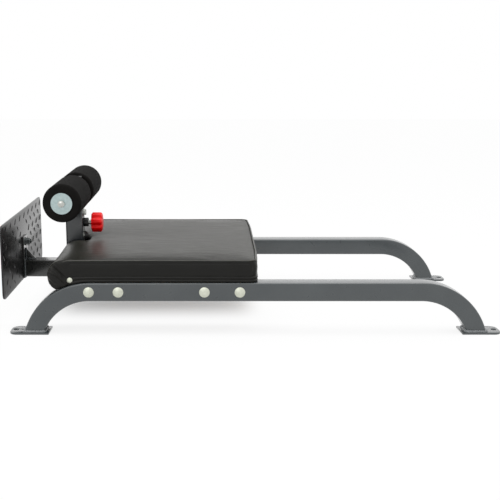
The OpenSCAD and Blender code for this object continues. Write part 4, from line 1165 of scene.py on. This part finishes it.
# %% Arithmetic for floor and sky
def number(tree, operation, *inputs):
    """One step of arithmetic on numbers or sockets."""
    n = add_node(tree, "ShaderNodeMath", operation=operation)
    for socket, value in zip(n.inputs, inputs):
        if isinstance(value, float):
            socket.default_value = value
        else:
            tree.links.new(value, socket)
    return n.outputs["Value"]


def step_between(tree, value, low, high):
    """0 at low, 1 at high and smooth between them. low may be the larger one."""
    span = {"From Min": low, "From Max": high}
    n = add_node(tree, "ShaderNodeMapRange", span, interpolation_type="SMOOTHSTEP")
    tree.links.new(value, n.inputs["Value"])
    return n.outputs["Result"]


def strip(tree, value, a, b, c, d):
    """0 below a, 1 from b to c, 0 above d and smooth between them."""
    rise, fall = step_between(tree, value, a, b), step_between(tree, value, d, c)
    return number(tree, "MULTIPLY", rise, fall)


def seen(tree):
    """1 for rays that come from the camera, a mirror or glass, and 0 for all others."""
    rays = add_node(tree, "ShaderNodeLightPath").outputs
    mirror = number(tree, "MAXIMUM", rays["Is Camera Ray"], rays["Is Glossy Ray"])
    return number(tree, "MAXIMUM", mirror, rays["Is Transmission Ray"])


print("arithmetic ready")

# %% [markdown]
# In the photograph the floor is almost pure white, and only the shade under the pad is left of
# its shadows. So what the camera, mirrors and glass see of the floor is a mix of white light
# and the real, shaded floor: mostly light far from the bench, and more floor under the pad and
# under the near rail. All other light meets the plain floor.

# %% Floor
FLOOR_LIGHT, PAD_SHADE, RAIL_SHADE = 0.95, 0.56, 0.12
points = np.array([[-9, -9, 0], [9, -9, 0], [9, 9, 0], [-9, 9, 0]], float)
floor = add_object("floor", points, [[0, 1, 2, 3]])
white, tree, shader = material("studio_white", 0.9)
shader.inputs["Specular IOR Level"].default_value = 0.0
pale, paler = (0.91, 0.91, 0.91, 1), (0.93, 0.93, 0.93, 1)
tone = ramp(tree, noise(tree, place(tree), 1.2, 2), [(0.3, pale), (0.7, paler)])
tree.links.new(tone, shader.inputs["Base Color"])

spot = add_node(tree, "ShaderNodeSeparateXYZ")
tree.links.new(place(tree), spot.inputs["Vector"])
x, y = spot.outputs["X"], spot.outputs["Y"]
across_x = strip(tree, x, -0.66, -0.50, -0.045, 0.045)
across_y = strip(tree, y, -0.205, -0.01, 0.25, 0.40)
under = number(tree, "MULTIPLY", across_x, across_y)
rail = strip(tree, y, -0.36, -0.31, -0.27, -0.21)
share = number(tree, "SUBTRACT", FLOOR_LIGHT, number(tree, "MULTIPLY", under, PAD_SHADE))
share = number(tree, "SUBTRACT", share, number(tree, "MULTIPLY", rail, RAIL_SHADE))
share = number(tree, "MULTIPLY", share, seen(tree))
glow = add_node(tree, "ShaderNodeEmission", {"Color": (1, 1, 1, 1), "Strength": 1.0})
mixed = add_node(tree, "ShaderNodeMixShader")
tree.links.new(share, mixed.inputs["Fac"])
tree.links.new(shader.outputs["BSDF"], mixed.inputs[1])
tree.links.new(glow.outputs["Emission"], mixed.inputs[2])
tree.links.new(mixed.outputs["Shader"], tree.nodes["Material Output"].inputs["Surface"])
floor.data.materials.append(white)
print("floor made, with", FLOOR_LIGHT, "of white light")

# %% [markdown]
# The sky is a plain white dome. It is seen at strength 1, which is pure white, and it lights
# the bench at 0.8. Two large lamps add a soft direction: one from above, one from the front.

# %% Light
SKY = 0.8
world = bpy.data.worlds.new("studio")
scene.world = world
world.use_nodes = True
tree = world.node_tree
sky = tree.nodes["Background"]
sky.inputs["Color"].default_value = (1, 1, 1, 1)
level = number(tree, "ADD", number(tree, "MULTIPLY", seen(tree), 1 - SKY), SKY)
tree.links.new(level, sky.inputs["Strength"])


def lamp(name, at, aim, size, power):
    """A square area lamp that looks at a point."""
    data = bpy.data.lights.new(name, "AREA")
    data.size, data.energy = size, power
    obj = bpy.data.objects.new(name, data)
    obj.location = at
    obj.rotation_euler = (Vector(aim) - Vector(at)).to_track_quat("-Z", "Y").to_euler()
    scene.collection.objects.link(obj)
    return obj


lamp("top_lamp", (0.0, 0.1, 2.4), (0, 0, 0), 2.6, 32)
lamp("front_lamp", (-1.2, -2.4, 1.8), (0, 0, 0.1), 1.6, 12)
print("lamps:", len(bpy.data.lights))

# %% [markdown]
# The camera stands where the photograph was taken from. Its place and its lens were worked out
# from the two rails, which are equal and parallel. It looks a little down on the bench.

# %% Camera
LOOKS_DOWN = 11.745
view = bpy.data.cameras.new("camera")
camera = bpy.data.objects.new("camera", view)
scene.collection.objects.link(camera)
scene.camera = camera
camera.location = (-0.1159, -2.6365, 0.7093)
camera.rotation_euler = (math.radians(90 - LOOKS_DOWN), 0, 0)
view.sensor_width = 36
view.lens = 64.964
view.shift_x = 0.076
view.clip_end = 60
print("camera:", round(view.lens, 1), "mm lens, looking down by", LOOKS_DOWN, "degrees")
